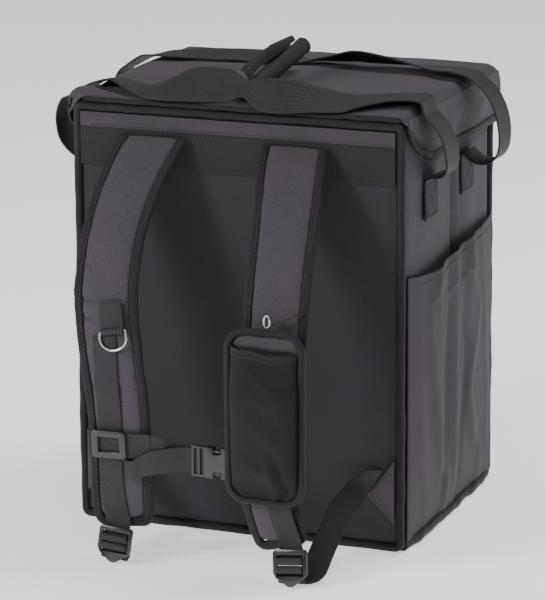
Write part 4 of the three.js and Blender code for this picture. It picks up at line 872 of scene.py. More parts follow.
# Lamps: name, place and size, in metres, and the point that they look at
LAMPS = (
    ("key light", (-2.1, -2.5, 1.9), 1.1), ("side light", (2.9, -1.0, 1.3), 1.6),
    ("top light", (0.8, 0.7, 2.5), 1.3),
)
LIT_MIDDLE = (0.0, -0.05, 0.24)


class BACKPACK_OT_stage(bpy.types.Operator):
    """Lay the pale floor, hang the soft lights and set up the camera"""

    bl_idname = "backpack.stage"
    bl_label = "Stage"

    def execute(self, context):
        stage = context.scene.backpack_stage
        deselect()
        bpy.ops.mesh.primitive_grid_add(x_subdivisions=60, y_subdivisions=60, size=stage.floor_size)
        floor = context.object
        rename(floor, "floor")
        for point in floor.data.vertices:
            behind = max(0.0, point.co.y - 0.3 * stage.floor_size)
            point.co.z = -0.0006 + 0.06 * behind * behind
        pick(floor)
        bpy.ops.object.shade_smooth()
        made, tree, shader = paint("pale floor")
        spots = cloud(tree, 1.5, 2.0)
        tree.links.new(tint(tree, spots, (0.94, 0.94, 0.94), (0.98, 0.98, 0.98)), shader.inputs["Base Color"])
        shader.inputs["Roughness"].default_value = 0.9
        shader.inputs["Emission Color"].default_value = (1.0, 1.0, 1.0, 1.0)
        shader.inputs["Emission Strength"].default_value = stage.floor_glow
        shader.inputs["Specular IOR Level"].default_value = 0.1
        floor.data.materials.append(made)

        world = bpy.data.worlds.new("white room")
        world.use_nodes = True
        back = world.node_tree.nodes["Background"]
        back.inputs["Color"].default_value = (1.0, 1.0, 1.0, 1.0)
        back.inputs["Strength"].default_value = stage.sky
        context.scene.world = world

        middle = Vector(LIT_MIDDLE)
        for (name, spot, size), power in zip(LAMPS, (stage.key_power, stage.side_power, stage.top_power)):
            light = bpy.data.lights.new(name, "AREA")
            light.energy = power
            light.shape = "DISK"
            light.size = size
            lamp = bpy.data.objects.new(name, light)
            context.scene.collection.objects.link(lamp)
            lamp.location = spot
            lamp.rotation_mode = "QUATERNION"
            lamp.rotation_quaternion = (middle - Vector(spot)).to_track_quat("-Z", "Y")

        turn, rise, roll = (math.radians(angle) for angle in CAMERA_ANGLES)
        away = Vector((math.sin(turn) * math.cos(rise), -math.cos(turn) * math.cos(rise), math.sin(rise)))
        level = Vector((0, 0, 1)).cross(away).normalized()
        upright = away.cross(level)
        right = level * math.cos(roll) + upright * math.sin(roll)
        up = upright * math.cos(roll) - level * math.sin(roll)
        view = bpy.data.cameras.new("photo view")
        view.lens = stage.lens
        view.sensor_width = 36.0
        view.clip_start = 0.05
        view.clip_end = 60.0
        camera = bpy.data.objects.new("photo view", view)
        context.scene.collection.objects.link(camera)
        place = Matrix((right, up, away)).transposed().to_4x4()
        place.translation = Vector(CAMERA_PLACE)
        camera.matrix_world = place
        context.scene.camera = camera
        return {"FINISHED"}


def tucked(distance, depth=2.4, reach=7.0):
    """How far cloth pulls in at a distance from its seam"""
    return depth * math.exp(-(distance / reach) ** 2)


def side_surface(side, y, z):
    """Outward face of a side: crowned, tucked in at its seams, with an upright crease on the pocket side"""
    u = y / SIDE_HIGH[1]
    w = max(-1.0, min(1.0, 2 * z / HEIGHT - 1))
    crown = SIDE_CROWN * max(0.0, 1 - u * u) * (1 - w * w)
    near = max(0.0, 1 - abs(y - CREASE_MIDDLE) / CREASE_HALF)
    high = smooth((z / HEIGHT - 0.45) / 0.2)
    crease = CREASE_DEPTH * smooth(near) * high if side > 0 else 0.0
    if side > 0:
        edge = math.exp(-((y - CREASE_MIDDLE + 0.8 * CREASE_HALF) / 2.2) ** 2)
        crease -= 0.35 * CREASE_DEPTH * edge * high
    tuck = tucked(min(SIDE_HIGH[1] - abs(y), z - SIDE_LOW[2]))
    soft = wrinkle() * (0.55 * sag(side, y, z, 95, 2 + side) + 0.35 * sag(side, y, z, 34, 7 + side))
    return SIDE_X + crown - crease - tuck - soft


class BACKPACK_OT_panels(bpy.types.Operator):
    """Cut the padded panels of the box and sew them in"""

    bl_idname = "backpack.panels"
    bl_label = "Panels"

    def execute(self, context):
        columns, rows = 80, 100

        def strap_side(i, j):
            x = blend_of(FACE_LOW[0], FACE_HIGH[0], i / columns)
            z = blend_of(FACE_LOW[2], FACE_HIGH[2], j / rows)
            border = min(x - FACE_LOW[0], FACE_HIGH[0] - x, z - FACE_LOW[2], FACE_HIGH[2] - z)
            soft = wrinkle() * (0.8 * sag(x, 0, z, 120, 1) + 0.3 * sag(x, 0, z, 38, 5))
            return (x, FACE_Y + tucked(border) + soft * smooth(border / 20), z), (x, z)

        piece = laid_grid("back_panel", columns, rows, strap_side)
        face_outward(piece, (0, -1, 0))
        thicken(piece, 7.0)
        slump(piece)
        settle(piece, back_cloth(), "cloth", "panel_strap_side")

        def far_side(i, j):
            u, w = 2 * i / columns - 1, 2 * j / rows - 1
            x = u * FACE_HIGH[0]
            z = blend_of(FACE_LOW[2], FACE_HIGH[2], j / rows)
            crown = SIDE_CROWN * (1 - u * u) * (1 - w * w)
            border = min(FACE_HIGH[0] - abs(x), z - FACE_LOW[2], FACE_HIGH[2] - z)
            soft = wrinkle() * (0.9 * sag(x, 9, z, 110, 4) + 0.5 * sag(x, 9, z, 36, 8))
            return (x, -FACE_Y + crown - tucked(border) - soft, z), (x, z)

        piece = laid_grid("front_panel", columns, rows, far_side)
        face_outward(piece, (0, 1, 0))
        thicken(piece, 7.0)
        settle(piece, body_cloth(), "cloth", "panel_far_side")

        for side, hand in ((-1, "left"), (1, "right")):
            def side_wall(i, j, side=side):
                y = blend_of(SIDE_LOW[1], SIDE_HIGH[1], i / columns)
                z = blend_of(SIDE_LOW[2], SIDE_HIGH[2], j / rows)
                return (side * side_surface(side, y, z), y, z), (y, z)

            piece = laid_grid(f"side_panel_{hand}", columns, rows, side_wall)
            face_outward(piece, (side, 0, 0))
            thicken(piece, 7.0)
            slump(piece)
            settle(piece, body_cloth(), "cloth", f"panel_{hand}")

        low, high = extent("panel_base")

        def base(i, j):
            x = blend_of(low[0], high[0], i / 40)
            y = blend_of(low[1], high[1], j / 40)
            return (x, y, 0.4 + 0.8 * sag(x, y, 0, 50, 6)), (x, y)

        piece = laid_grid("base_panel", 40, 40, base)
        face_outward(piece, (0, 0, -1))
        thicken(piece, 6.5)
        settle(piece, body_cloth(), "cloth", "panel_base")
        return {"FINISHED"}


def rounded_loop(half_x, low, high, radius, spacing=3.0):
    """Closed line round a rectangle from low to high, in the plane of width and height"""
    corners = ((half_x, low, -90), (half_x, high, 0), (-half_x, high, 90), (-half_x, low, 180))
    line = []
    for x, z, start in corners:
        cx = x - math.copysign(radius, x)
        cz = z + radius if z == low else z - radius
        for k in range(7):
            angle = math.radians(start + 15 * k)
            line.append((cx + radius * math.cos(angle), cz + radius * math.sin(angle)))
    closed = []
    for a, b in zip(line, line[1:] + line[:1]):
        count = max(1, math.ceil(math.dist(a, b) / spacing))
        for n in range(count):
            closed.append((blend_of(a[0], b[0], n / count), blend_of(a[1], b[1], n / count)))
    closed.append(closed[0])
    return closed


class BACKPACK_OT_bindings(bpy.types.Operator):
    """Bind the edges of the two big faces and the foot of the sides with tape"""

    bl_idname = "backpack.bindings"
    bl_label = "Edge bindings"

    def execute(self, context):
        x, low, high = HALF_X - BEAD, BEAD, HEIGHT - BEAD
        for side, name, face in ((-1, "back_rim", "strap"), (1, "front_rim", "far")):
            points = []
            for px, pz in rounded_loop(x, low, high, 1.2 * BEAD):
                shift = 0.7 * ripple(px, side * 30, pz, 26, 2.0)
                points.append(Vector((
                    px + shift * (abs(px) > x - 1),
                    side * (HALF_Y - BEAD) + 0.4 * shift,
                    max(low, pz + shift * (abs(px) < x - 8)),
                )))
            points[-1] = points[0].copy()
            stations = stations_on(points, (0, side, 0), BEAD, BEAD, ring=True)
            piece = tube(name, stations, 16, 0.82, ring=True, uneven=0.1, grain=16)
            slump(piece)
            settle(piece, tape(), "binding", f"binding_{face}_side")
        end = HALF_Y - 2 * BEAD - 0.3
        for side, hand in ((-1, "left"), (1, "right")):
            points = []
            radius = BEAD * (FOOT_SHARE if side > 0 else 1.0)
            for k in range(67):
                y = blend_of(-end, end, k / 66)
                fade = smooth(min(k, 66 - k) / 8)
                wavy = 1.4 * fade * ripple(side * 50, y, 0, 19, 1.0)
                out = FOOT_OUT * fade if side > 0 else 0.0
                points.append(Vector((side * x + wavy + out, y, radius + abs(wavy))))
            stations = stations_on(points, (side, 0, 0), radius, radius)
            piece = tube(f"foot_rim_{hand}", stations, 16, 0.82, uneven=0.14, grain=15)
            slump(piece)
            settle(piece, tape(), "binding", f"binding_base_{hand}")
        return {"FINISHED"}


# Corner patch outline: shares of the half width and of the height
PATCH = ((0.945, 0.22), (0.786, 0.132), (0.945, 0.069))


class BACKPACK_OT_face_trim(bpy.types.Operator):
    """Sew the cloth strip, the webbing band and the corner patches on the strap side"""

    bl_idname = "backpack.face_trim"
    bl_label = "Face trim"

    def execute(self, context):
        # The strip's cloth and the band's webbing are darkened copies of the body cloth and the webbing:
        # painted shade
        for name, node, finish, slot in (
            ("top_strip_cloth", "top_strip", pocket_cloth_painted_shade(), "cloth"),
            ("band_webbing_painted_shade", "webbing_band", band_webbing_painted_shade(), "webbing"),
        ):
            low, high = extent(node)

            def flat_run(i, j, low=low, high=high):
                x = blend_of(low[0], high[0], i / 90)
                z = blend_of(low[2], high[2], j / 8)
                edge = tucked(min(z - low[2], high[2] - z), 0.5, 2.5)
                return (x, low[1] + edge + 0.35 * ripple(x, 0, z, 30, 3), z), (z, x)

            piece = laid_grid(name, 90, 8, flat_run)
            face_outward(piece, (0, -1, 0))
            thicken(piece, 1.4)
            slump(piece)
            settle(piece, finish, slot, node)
        cloth = FACE_Y - 0.3
        for side, name in ((-1, "left"), (1, "right")):
            top, tip, foot = (Vector((side * px * HALF_X, 0, pz * HEIGHT)) for px, pz in PATCH)

            def patch(i, j, top=top, tip=tip, foot=foot):
                edge = top.lerp(foot, i / 24)
                spot = edge.lerp(tip, 0.97 * j / 14)
                spot.y = cloth - 1.8 + 0.3 * ripple(spot.x, 0, spot.z, 12, 6)
                return spot, (spot.x, spot.z)

            piece = laid_grid(f"patch_{name}", 24, 14, patch)
            face_outward(piece, (0, -1, 0))
            thicken(piece, 1.5, rounding=0.3)
            slump(piece)
            settle(piece, body_cloth(), "cloth", f"corner_patch_{name}")
        front = Vector((0, -1, 0))
        lines = []
        for node, inset in (("top_strip", 2.0), ("webbing_band", 2.0), ("webbing_band", 35.5)):
            low, high = extent(node)
            z = low[2] + inset
            run = range(int(low[0]) + 3, int(high[0]) - 2, 6)
            lines.append([((x, low[1] - 0.15, z), front) for x in run])
        for side in (-1, 1):
            top, tip, foot = (Vector((side * px * HALF_X, cloth - 2.0, pz * HEIGHT)) for px, pz in PATCH)
            middle = (top + tip + foot) / 3
            inner = [p.lerp(middle, 0.14) for p in (top, tip, foot)]
            lines.append([(inner[0], front), (inner[1], front), (inner[2], front)])
        stitches("face_stitching", lines)
        return {"FINISHED"}


LID_DENTS = (
    (-0.7, -0.72, 0.85, 0.26), (-0.45, -0.3, 0.2, 0.22), (0.5, 0.05, 0.22, 0.3),
    (0.86, 0.72, 0.2, 0.16), (-0.8, 0.85, 0.25, 0.4), (-0.15, 0.5, 0.15, 0.25),
)
# Loose cloth at the near left corner: how far it bulges out and how far it rises
CORNER_BULGE = 13.0
CORNER_RISE = 5.0
# Folds of the lid: ends of the line, reach to each side and height, negative for a valley
LID_FOLDS = (
    (-168, -96, -118, -128, 9, -2.6), (-160, -70, -100, -112, 12, 1.6), (-60, -120, 60, -126, 8, -1.8),
    (40, -60, 130, -30, 12, -1.6), (90, -100, 168, -70, 8, -1.6), (-150, 20, -80, 70, 14, -2.2),
    (20, 40, 110, 90, 12, -1.8), (-60, -20, 0, 60, 12, -1.4), (100, 60, 170, 20, 9, -1.6),
)


def corner_slack(u, v):
    """Share of the loose bulge at the near left corner of the lid"""
    return smooth((-u - 0.6) / 0.4) * smooth((0.18 - v) / 0.13) * (0.7 + 0.3 * smooth(v / 0.04))


def lid_surface(u, v):
    """Height of the lid at shares of its half width and depth"""
    x, y = u * LID_HIGH[0], blend_of(LID_LOW[1], LID_HIGH[1], v)
    ramp = blend_of(5.5, 11.0, smooth(v / 0.16))
    puff = 8.0 * (1 - abs(u) ** 3) * max(0.0, math.sin(math.pi * v ** 0.8)) ** 0.7
    dent = 0.0
    for du, dv, depth, reach in LID_DENTS:
        far = math.hypot(u - du, 2 * v - 1 - dv) / reach
        dent += 8.0 * depth * math.exp(-far * far)
    fold = 0.0
    for x0, y0, x1, y1, reach, height in LID_FOLDS:
        run = Vector((x1 - x0, y1 - y0))
        share = max(0.0, min(1.0, Vector((x - x0, y - y0)).dot(run) / run.length_squared))
        far = math.hypot(x - x0 - share * run.x, y - y0 - share * run.y) / reach
        fold += height * math.exp(-far * far) * math.sin(math.pi * (0.1 + 0.8 * share))
    soft = wrinkle() * (0.5 * sag(x, y, 0, 60, 3) + 0.35 * sag(x, y, 0, 24, 9))
    height = HEIGHT + ramp + puff + min(0.0, fold - dent * min(1.0, 8 * v) - soft + 0.6)
    height += CORNER_RISE * corner_slack(u, v)
    edge = smooth((abs(u) - 0.95) / 0.05) + smooth((v - 0.96) / 0.04)
    height -= 3.0 * min(1.0, edge)
    for distance, radius in (
        ((1 - abs(u)) * LID_HIGH[0], 6.0), (LID_HIGH[1] - y, 6.0), (y - LID_LOW[1], 4.0),
    ):
        if distance < radius:
            height -= radius - math.sqrt(max(0.0, radius ** 2 - (radius - distance) ** 2))
    tucked_in = smooth((0.035 - v) / 0.03) * smooth((-u - 0.92) / 0.06)
    return max(HEIGHT + 1.0, height) - 10.0 * tucked_in


# Hem of the lid's skirt: share of the depth and share of the drop
HEM = (
    (-0.985, 0.1), (-0.9, 0.42), (-0.8, 0.62), (-0.71, 0.76), (-0.6, 0.88), (-0.46, 1.01),
    (-0.2, 1.02), (0.05, 0.98), (0.3, 1.0), (0.55, 1.02), (0.8, 0.99), (1.0, 1.0),
)
SKIRT_X = SIDE_X + SIDE_CROWN / 2 + 0.4
SKIRT_Y = -FACE_Y + SIDE_CROWN + 0.4
HEM_WIDE = 9.0
HEM_THICK = 3.4
HEM_DROP = 48.0
# Hinge tape of the lid: share of the half width that it reaches, and its two half sizes
HINGE_REACH = 0.965
HINGE_HALVES = (2.6, 1.5)


def hem_edges(side):
    """Lower and upper edge of the hem tape down one side, from the hinge to the far corner"""
    lows = []
    for k in range(61):
        share = blend_of(HEM[0][0], 1.0, k / 60)
        y = share * (SKIRT_Y - HEM_THICK)
        z = HEIGHT - 2 - look_up(HEM, share, 1) * HEM_DROP
        depth = (y - LID_LOW[1]) / (LID_HIGH[1] - LID_LOW[1])
        loose = CORNER_BULGE * corner_slack(-1.0 if side < 0 else 0.0, depth)
        lows.append(Vector((side * (SKIRT_X + loose), y, z)))
    pairs = []
    for k, low in enumerate(lows):
        run = (lows[min(k + 2, 60)] - lows[max(k - 2, 0)]).normalized()
        part = min(1.0, (HEIGHT - low.z) / (2 * HEM_WIDE)) * HEM_WIDE
        pairs.append((low, low + Vector((0, -run.z * part, abs(run.y) * part))))
    return pairs


class BACKPACK_OT_lid(bpy.types.Operator):
    """Make the soft lid: its puffed top, the skirt round three sides and the bound hem"""

    bl_idname = "backpack.lid"
    bl_label = "Lid"

    def execute(self, context):
        columns, rows = 120, 110

        def top(i, j):
            s = 2 * i / columns - 1
            u = math.copysign(1 - (1 - abs(s)) ** 1.35, s)
            t = 2 * j / rows - 1
            v = 0.5 + 0.5 * math.copysign(1 - (1 - abs(t)) ** 1.35, t)
            y = blend_of(LID_LOW[1], LID_HIGH[1], v)
            x = u * LID_HIGH[0] - CORNER_BULGE * corner_slack(u, v)
            return (x, y, lid_surface(u, v)), (u * LID_HIGH[0], y)

        piece = laid_grid("lid_cloth", columns, rows, top)
        face_outward(piece, (0, 0, 1))
        thicken(piece, 3.0)
        settle(piece, body_cloth(), "cloth", "lid_top", angle=60)

        far_x = SKIRT_X - HEM_THICK
        foot = hem_edges(1)[-1]
        drops = {"left": hem_edges(-1), "right": hem_edges(1), "far": []}
        for k in range(61):
            x = blend_of(-far_x, far_x, k / 60)
            drops["far"].append((Vector((x, SKIRT_Y, foot[0].z)), Vector((x, SKIRT_Y, foot[1].z))))
        ways = {"left": Vector((-1, 0, 0)), "far": Vector((0, 1, 0)), "right": Vector((1, 0, 0))}
        for name, way in ways.items():
            edges = drops[name]

            def hung(i, j, edges=edges, way=way):
                high = edges[i][1]
                top_z = max(HEIGHT + 2.5, high.z + 1.5)
                z = blend_of(high.z - 1.5, top_z, j / 14)
                share = j / 14
                flare = 2.2 * math.sin(math.pi * share) * smooth((top_z - high.z) / 30)
                soft = 1.3 * ripple(high.x, high.y, z, 34, 4) + 0.8 * ripple(high.x, high.y, z, 13, 8)
                out = WEB + flare + soft * smooth(share * 3) * smooth(4 * (1 - share))
                spot = Vector((high.x, high.y, z)) + way * out
                if way.y:
                    spot.x += math.copysign(HEM_THICK + out, spot.x) * abs(i / 30 - 1) ** 12
                else:
                    spot.y += (HEM_THICK + out) * (i / 60) ** 12
                return spot, (high.x + high.y, z)

            piece = laid_grid(f"skirt_{name}", 60, 14, hung)
            face_outward(piece, way)
            thicken(piece, 1.6)
            settle(piece, body_cloth(), "cloth", f"lid_skirt_{name}")

        stations = []
        length = 0.0
        line = []
        drops["right"].reverse()
        runs = [(drops[name], way) for name, way in ways.items()]
        for n, (edges, way) in enumerate(runs):
            if n:
                before = runs[n - 1][1]
                corner = (before + way).normalized()
                low = (runs[n - 1][0][-1][0] + edges[0][0]) / 2 + corner * 0.9
                high = (runs[n - 1][0][-1][1] + edges[0][1]) / 2 + corner * 0.9
                line.append((low, high, corner))
            line.extend((low, high, way) for low, high in edges)
        for k, (low, high, way) in enumerate(line):
            if k:
                length += (low - line[k - 1][0]).length
            middle = (low + high) / 2 + way * (HEM_THICK / 2 + 0.5 * ripple(low.x, low.y, low.z, 18, 2))
            middle.z += 0.5 * ripple(low.x, low.y, low.z, 22, 5)
            up = high - low
            half = max(0.6, up.length / 2)
            stations.append((middle, up.normalized(), way, half, HEM_THICK / 2, length))
        piece = tube("lid_hem", stations, 16, 0.6, uneven=0.07, grain=12)
        settle(piece, tape(), "binding", "lid_hem_binding")
        points = []
        for k in range(101):
            x = HINGE_REACH * blend_of(-HALF_X, HALF_X, k / 100)
            wavy = 0.5 * ripple(x, 3, 0, 17, 2)
            points.append(Vector((x, LID_LOW[1] - 1.6 + wavy, HEIGHT + 3.0 + wavy)))
        line = stations_on(points, (0, -1, 0.5), *HINGE_HALVES)
        piece = tube("lid_hinge_tape", line, 12, 0.7, uneven=0.16, grain=9)
        settle(piece, tape(), "binding")

        rows_of_thread = []
        for edges, way in runs:
            rows_of_thread.append([
                (low.lerp(high, 0.8) + way * (HEM_THICK + 0.35), way) for low, high in edges[2:-2:3]])
        stitches("lid_stitching", rows_of_thread)
        return {"FINISHED"}


# Open flap of the grip wrap: its back edge and its front edge, from the near end on
WRAP_FLAP = (
    ((-11.1, -108.0, 470.4), (1.9, -116.0, 463.5)), ((-8.8, -84.0, 476.5), (1.2, -90.0, 469.8)),
    ((-6.5, -60.0, 481.8), (0.8, -66.0, 472.0)), ((-2.7, -34.0, 485.6), (4.9, -40.0, 477.0)),
    ((2.7, -6.0, 487.5), (10.4, -12.0, 486.0)),
)
# Unrolled cloth of the wrap: round it, along it, and across its open flap
WRAP_AROUND = 95.0
WRAP_LONG = 118.0
FLAP_WIDE = 22.0
# Stitched box at a handle's end: half its width, and its distance from the ends of the patch
BOX_HALF = 16.0
BOX_INSET = 3.0


class BACKPACK_OT_handles(bpy.types.Operator):
    """Lay the two carrying handles over the lid, with the grip wrap and the boxes of stitching"""

    bl_idname = "backpack.handles"
    bl_label = "Carrying handles"

    def execute(self, context):
        for name, node in (("near_handle", "handle_near"), ("far_handle", "handle_far")):
            piece = strap(name, STRAP_ROUTES[node], columns=10, cup=0.5, uneven=0.7)
            # The handles' webbing is a darkened copy of the strap webbing: painted shade
            settle(piece, handle_webbing_painted_shade(), "webbing", node)

        columns, rows = 54, 48

        def flap(i, j):
            spots = [along_points(row, i / columns) for row in WRAP_ROWS]
            spot = along_points(spots, j / rows)
            edge = min(i, columns - i) / columns
            ragged = math.exp(-(edge / 0.03) ** 2)
            rough = 0.5 + 0.9 * ragged
            spot.z += rough * ripple(spot.x, spot.y, spot.z, 9, 2) - 0.4 * rough
            spot.x += rough * ripple(spot.x, spot.y, spot.z, 8, 5)
            return spot, (i / columns * WRAP_AROUND, j / rows * WRAP_LONG)

        def open_flap(i, j):
            back, front = (
                along_points([pair[n] for pair in WRAP_FLAP], j / rows) for n in (0, 1))
            share = i / 20
            spot = back.lerp(front, share)
            arch = math.sin(math.pi * share)
            spot.z += 3.4 * arch * (1 - 0.3 * j / rows) + 0.8 * ripple(spot.x, spot.y, 0, 9, 6)
            spot.x += 1.6 * math.exp(-(share / 0.14) ** 2) * ripple(0, spot.y, 0, 8, 4)
            return spot, (share * FLAP_WIDE, j / rows * WRAP_LONG)

        pieces = [laid_grid("wrap_cloth", columns, rows, flap), laid_grid("wrap_flap", 20, rows, open_flap)]
        for piece in pieces:
            thicken(piece, 1.6, 0.0, 0.4)
        # The wrap wears the band's darkened webbing: painted shade
        settle(joined("wrap_cloth", pieces), band_webbing_painted_shade(), "cloth", "grip_wrap", angle=60)

        lines = []
        for node in ("handle_near", "handle_far"):
            rows_of_node = STRAP_ROUTES[node]
            for patch in (rows_of_node[:4], rows_of_node[-4:]):
                side = math.copysign(1, patch[0][0])
                out = Vector((side, 0, 0))
                x = max(abs(row[0]) for row in patch) * side + side * (WEB / 2 + 0.3)
                y = patch[0][1]
                z0, z1 = sorted((patch[0][2], patch[-1][2]))
                z0, z1 = z0 + BOX_INSET, z1 - BOX_INSET
                near, far = y - BOX_HALF, y + BOX_HALF
                for run in (
                    ((near, z0), (far, z0), (far, z1), (near, z1), (near, z0)),
                    ((near, z0), (far, z1)), ((near, z1), (far, z0)),
                ):
                    lines.append([((x, a, b), out) for a, b in run])
        stitches("handle_stitching", lines)
        return {"FINISHED"}


def along_points(points, share):
    """Point on a smooth curve through points, at a share of it"""
    place = share * (len(points) - 1)
    k = min(int(place), len(points) - 2)
    t = place - k
    b, c = Vector(points[k]), Vector(points[k + 1])
    a = Vector(points[k - 1]) if k else b * 2 - c
    d = Vector(points[k + 2]) if k + 2 < len(points) else c * 2 - b
    return (b * 2 + (c - a) * t + (a * 2 - b * 5 + c * 4 - d) * t * t
            + (b * 3 - a - c * 3 + d) * t * t * t) / 2


def pad_stations(side, spacing=3.0):
    """Middle, width, outward normal, half width, thickness and length down a shoulder pad"""
    result = []
    for row, length in smooth_rows(PAD_ROUTES[side], spacing):
        across = Vector(row[3:6]).normalized()
        out = Vector(row[6:9]).normalized()
        result.append((Vector(row[:3]), across, out, row[9], row[10] * PAD_THICK, length))
    return result


def pad_at(stations, length):
    """Middle, width, outward normal, half width and thickness at a length down a pad"""
    for a, b in zip(stations, stations[1:]):
        if length <= b[5]:
            share = (length - a[5]) / (b[5] - a[5])
            return [blend_of(p, q, share) for p, q in zip(a[:5], b[:5])]
    return list(stations[-1][:5])


# Pinches across the pads: length down the pad and depth
PAD_PINCHES = {"left": ((176.0, 1.6), (192.0, 1.4), (262.0, 0.8)), "right": ((120.0, 0.5), (330.0, 0.9))}


class BACKPACK_OT_shoulder_pads(bpy.types.Operator):
    """Stuff the two shoulder pads and bind their edges"""

    bl_idname = "backpack.shoulder_pads"
    bl_label = "Shoulder pads"

    def execute(self, context):
        for side in ("left", "right"):
            stations = pad_stations(side)
            total = stations[-1][5]
            inner = total - TAPE - 0.3
            steps = math.ceil(inner / 2.6)
            around = 44

            def padded_body(i, j, stations=stations, inner=inner, steps=steps, side=side):
                length = inner * j / steps
                centre, across, out, half, thick = pad_at(stations, length)
                left = inner - length
                corner = 9.0 - math.sqrt(max(0.0, 81.0 - max(0.0, 9.0 - left) ** 2))
                wide = half - TAPE + 0.4 - corner
                angle = 2 * math.pi * (i % around) / around
                c, s = math.cos(angle), math.sin(angle)
                x = math.copysign(abs(c) ** 0.55, c)
                y = math.copysign(abs(s) ** 0.5, s)
                end = min(1.0, 0.55 + left / 12)
                face = y * thick / 2 * (1.06 - 0.3 * abs(x) ** 5) * end
                if s > 0:
                    face += 0.8 * ripple(length, x * 20, 0, 42, len(side)) * (1 - x * x)
                    face += 0.9 * ripple(length, x * 9, 3, 11, 2) * abs(x) ** 3
                    for place, depth in PAD_PINCHES[side]:
                        face -= depth * math.exp(-((length - place - 0.05 * x * wide) / 2.6) ** 2)
                return centre + across * (x * wide) + out * face, (x * wide, length)

            piece = close_up(laid_grid(f"pad_{side}", around, steps, padded_body))
            settle(piece, body_cloth(), "cloth", f"shoulder_pad_{side}", angle=60)

            spots = []
            corner = 7.0
            low = total - TAPE / 2
            for k in range(math.ceil((low - corner) / 3.0) + 1):
                spots.append((min(low - corner, 3.0 * k), -1, 0.0))
            for k in range(1, 6):
                angle = math.radians(18 * k)
                spots.append((low - corner + corner * math.sin(angle), -1, corner * (1 - math.cos(angle))))
            mirrored = [(length, 1, inset) for length, _, inset in reversed(spots)]
            points, outs = [], []
            bottom = pad_at(stations, low)[3] - TAPE / 2 - corner
            between = [(low, share * bottom) for share in (-0.66, -0.33, 0.0, 0.33, 0.66)]
            for group in (spots, between, mirrored):
                for entry in group:
                    centre, across, out, half, thick = pad_at(stations, entry[0])
                    x = entry[1] if len(entry) == 2 else entry[1] * (half - TAPE / 2 - entry[2])
                    gather = 0.6 * ripple(entry[0], entry[1] * 40, 0, 13, 1)
                    points.append(centre + across * x + out * gather)
                    outs.append(out)
            line = stations_on(points, outs, TAPE / 2 + 0.3, 2.9)
            piece = tube(f"pad_tape_{side}", line, 16, 0.72, uneven=0.16, grain=9)
            settle(piece, tape(), "binding", f"pad_binding_{side}")

            rows_of_thread = []
            for hand in (-1, 1):
                thread = []
                for k in range(2, int(inner / 6)):
                    centre, across, out, half, thick = pad_at(stations, 6.0 * k)
                    gather = 0.6 * ripple(6.0 * k, hand * 40, 0, 13, 1)
                    seam = hand * (half - TAPE + 2.4)
                    thread.append((centre + across * seam + out * (gather + 2.85), out))
                rows_of_thread.append(thread)
            if side == "left":
                for length in (176.0, 192.0):
                    centre, across, out, half, thick = pad_at(stations, length)
                    rows_of_thread.append([
                        (centre + across * x + out * (thick / 2 - 1.0), out) for x in (-25.0, 0.0, 15.0)])
                a = pad_at(stations, 140.0)
                b = pad_at(stations, 172.0)
                rows_of_thread.append([
                    (a[0] - a[1] * 23 + a[2] * (a[4] / 2 + 0.1), a[2]),
                    ((a[0] + b[0]) / 2 - a[1] * 4 + a[2] * (a[4] / 2 + 0.3), a[2]),
                    (b[0] + b[1] * 16 + b[2] * (b[4] / 2 + 0.1), b[2]),
                ])
            stitches(f"pad_stitching_{side}", rows_of_thread)
        return {"FINISHED"}


# Webbing in the slots of the ladder locks: how much wider it is, and how far it lies to the left
LOCK_SPREAD = 2.0
LOCK_SHIFT = 0.7


class BACKPACK_OT_strap_webbing(bpy.types.Operator):
    """Run the webbing of the shoulder straps and the sternum strap"""

    bl_idname = "backpack.strap_webbing"
    bl_label = "Strap webbing"

    def execute(self, context):
        for node in (
            "pad_webbing_left", "pad_webbing_right", "lower_webbing_left", "lower_webbing_right",
            "sternum_tab", "sternum_webbing_front", "sternum_webbing_back", "sternum_webbing_right",
        ):
            rows = []
            for x, y, z, *across, wide in STRAP_ROUTES[node]:
                in_lock = smooth((-258 - y) / 3) * smooth((33 - z) / 4)
                rows.append((x - LOCK_SHIFT * in_lock, y, z, *across, wide + LOCK_SPREAD * in_lock))
            piece = strap(f"{node}_woven", rows, columns=8, spacing=2.5, cup=0.12)
            settle(piece, webbing(), "webbing", node)
        piece = moulded("ring_tab_woven", "ring_tab", 0.5)
        spread_flat(piece)
        settle(piece, webbing(), "webbing", "ring_tab")
        return {"FINISHED"}


def spread_flat(piece):
    """Unrolls a piece's cloth as seen from the strap side"""
    mesh = piece.data
    if not mesh.uv_layers:
        mesh.uv_layers.new(name="UVMap")
    layer = mesh.uv_layers.active
    for loop in mesh.loops:
        spot = mesh.vertices[loop.vertex_index].co
        layer.data[loop.index].uv = (spot.x, spot.z)


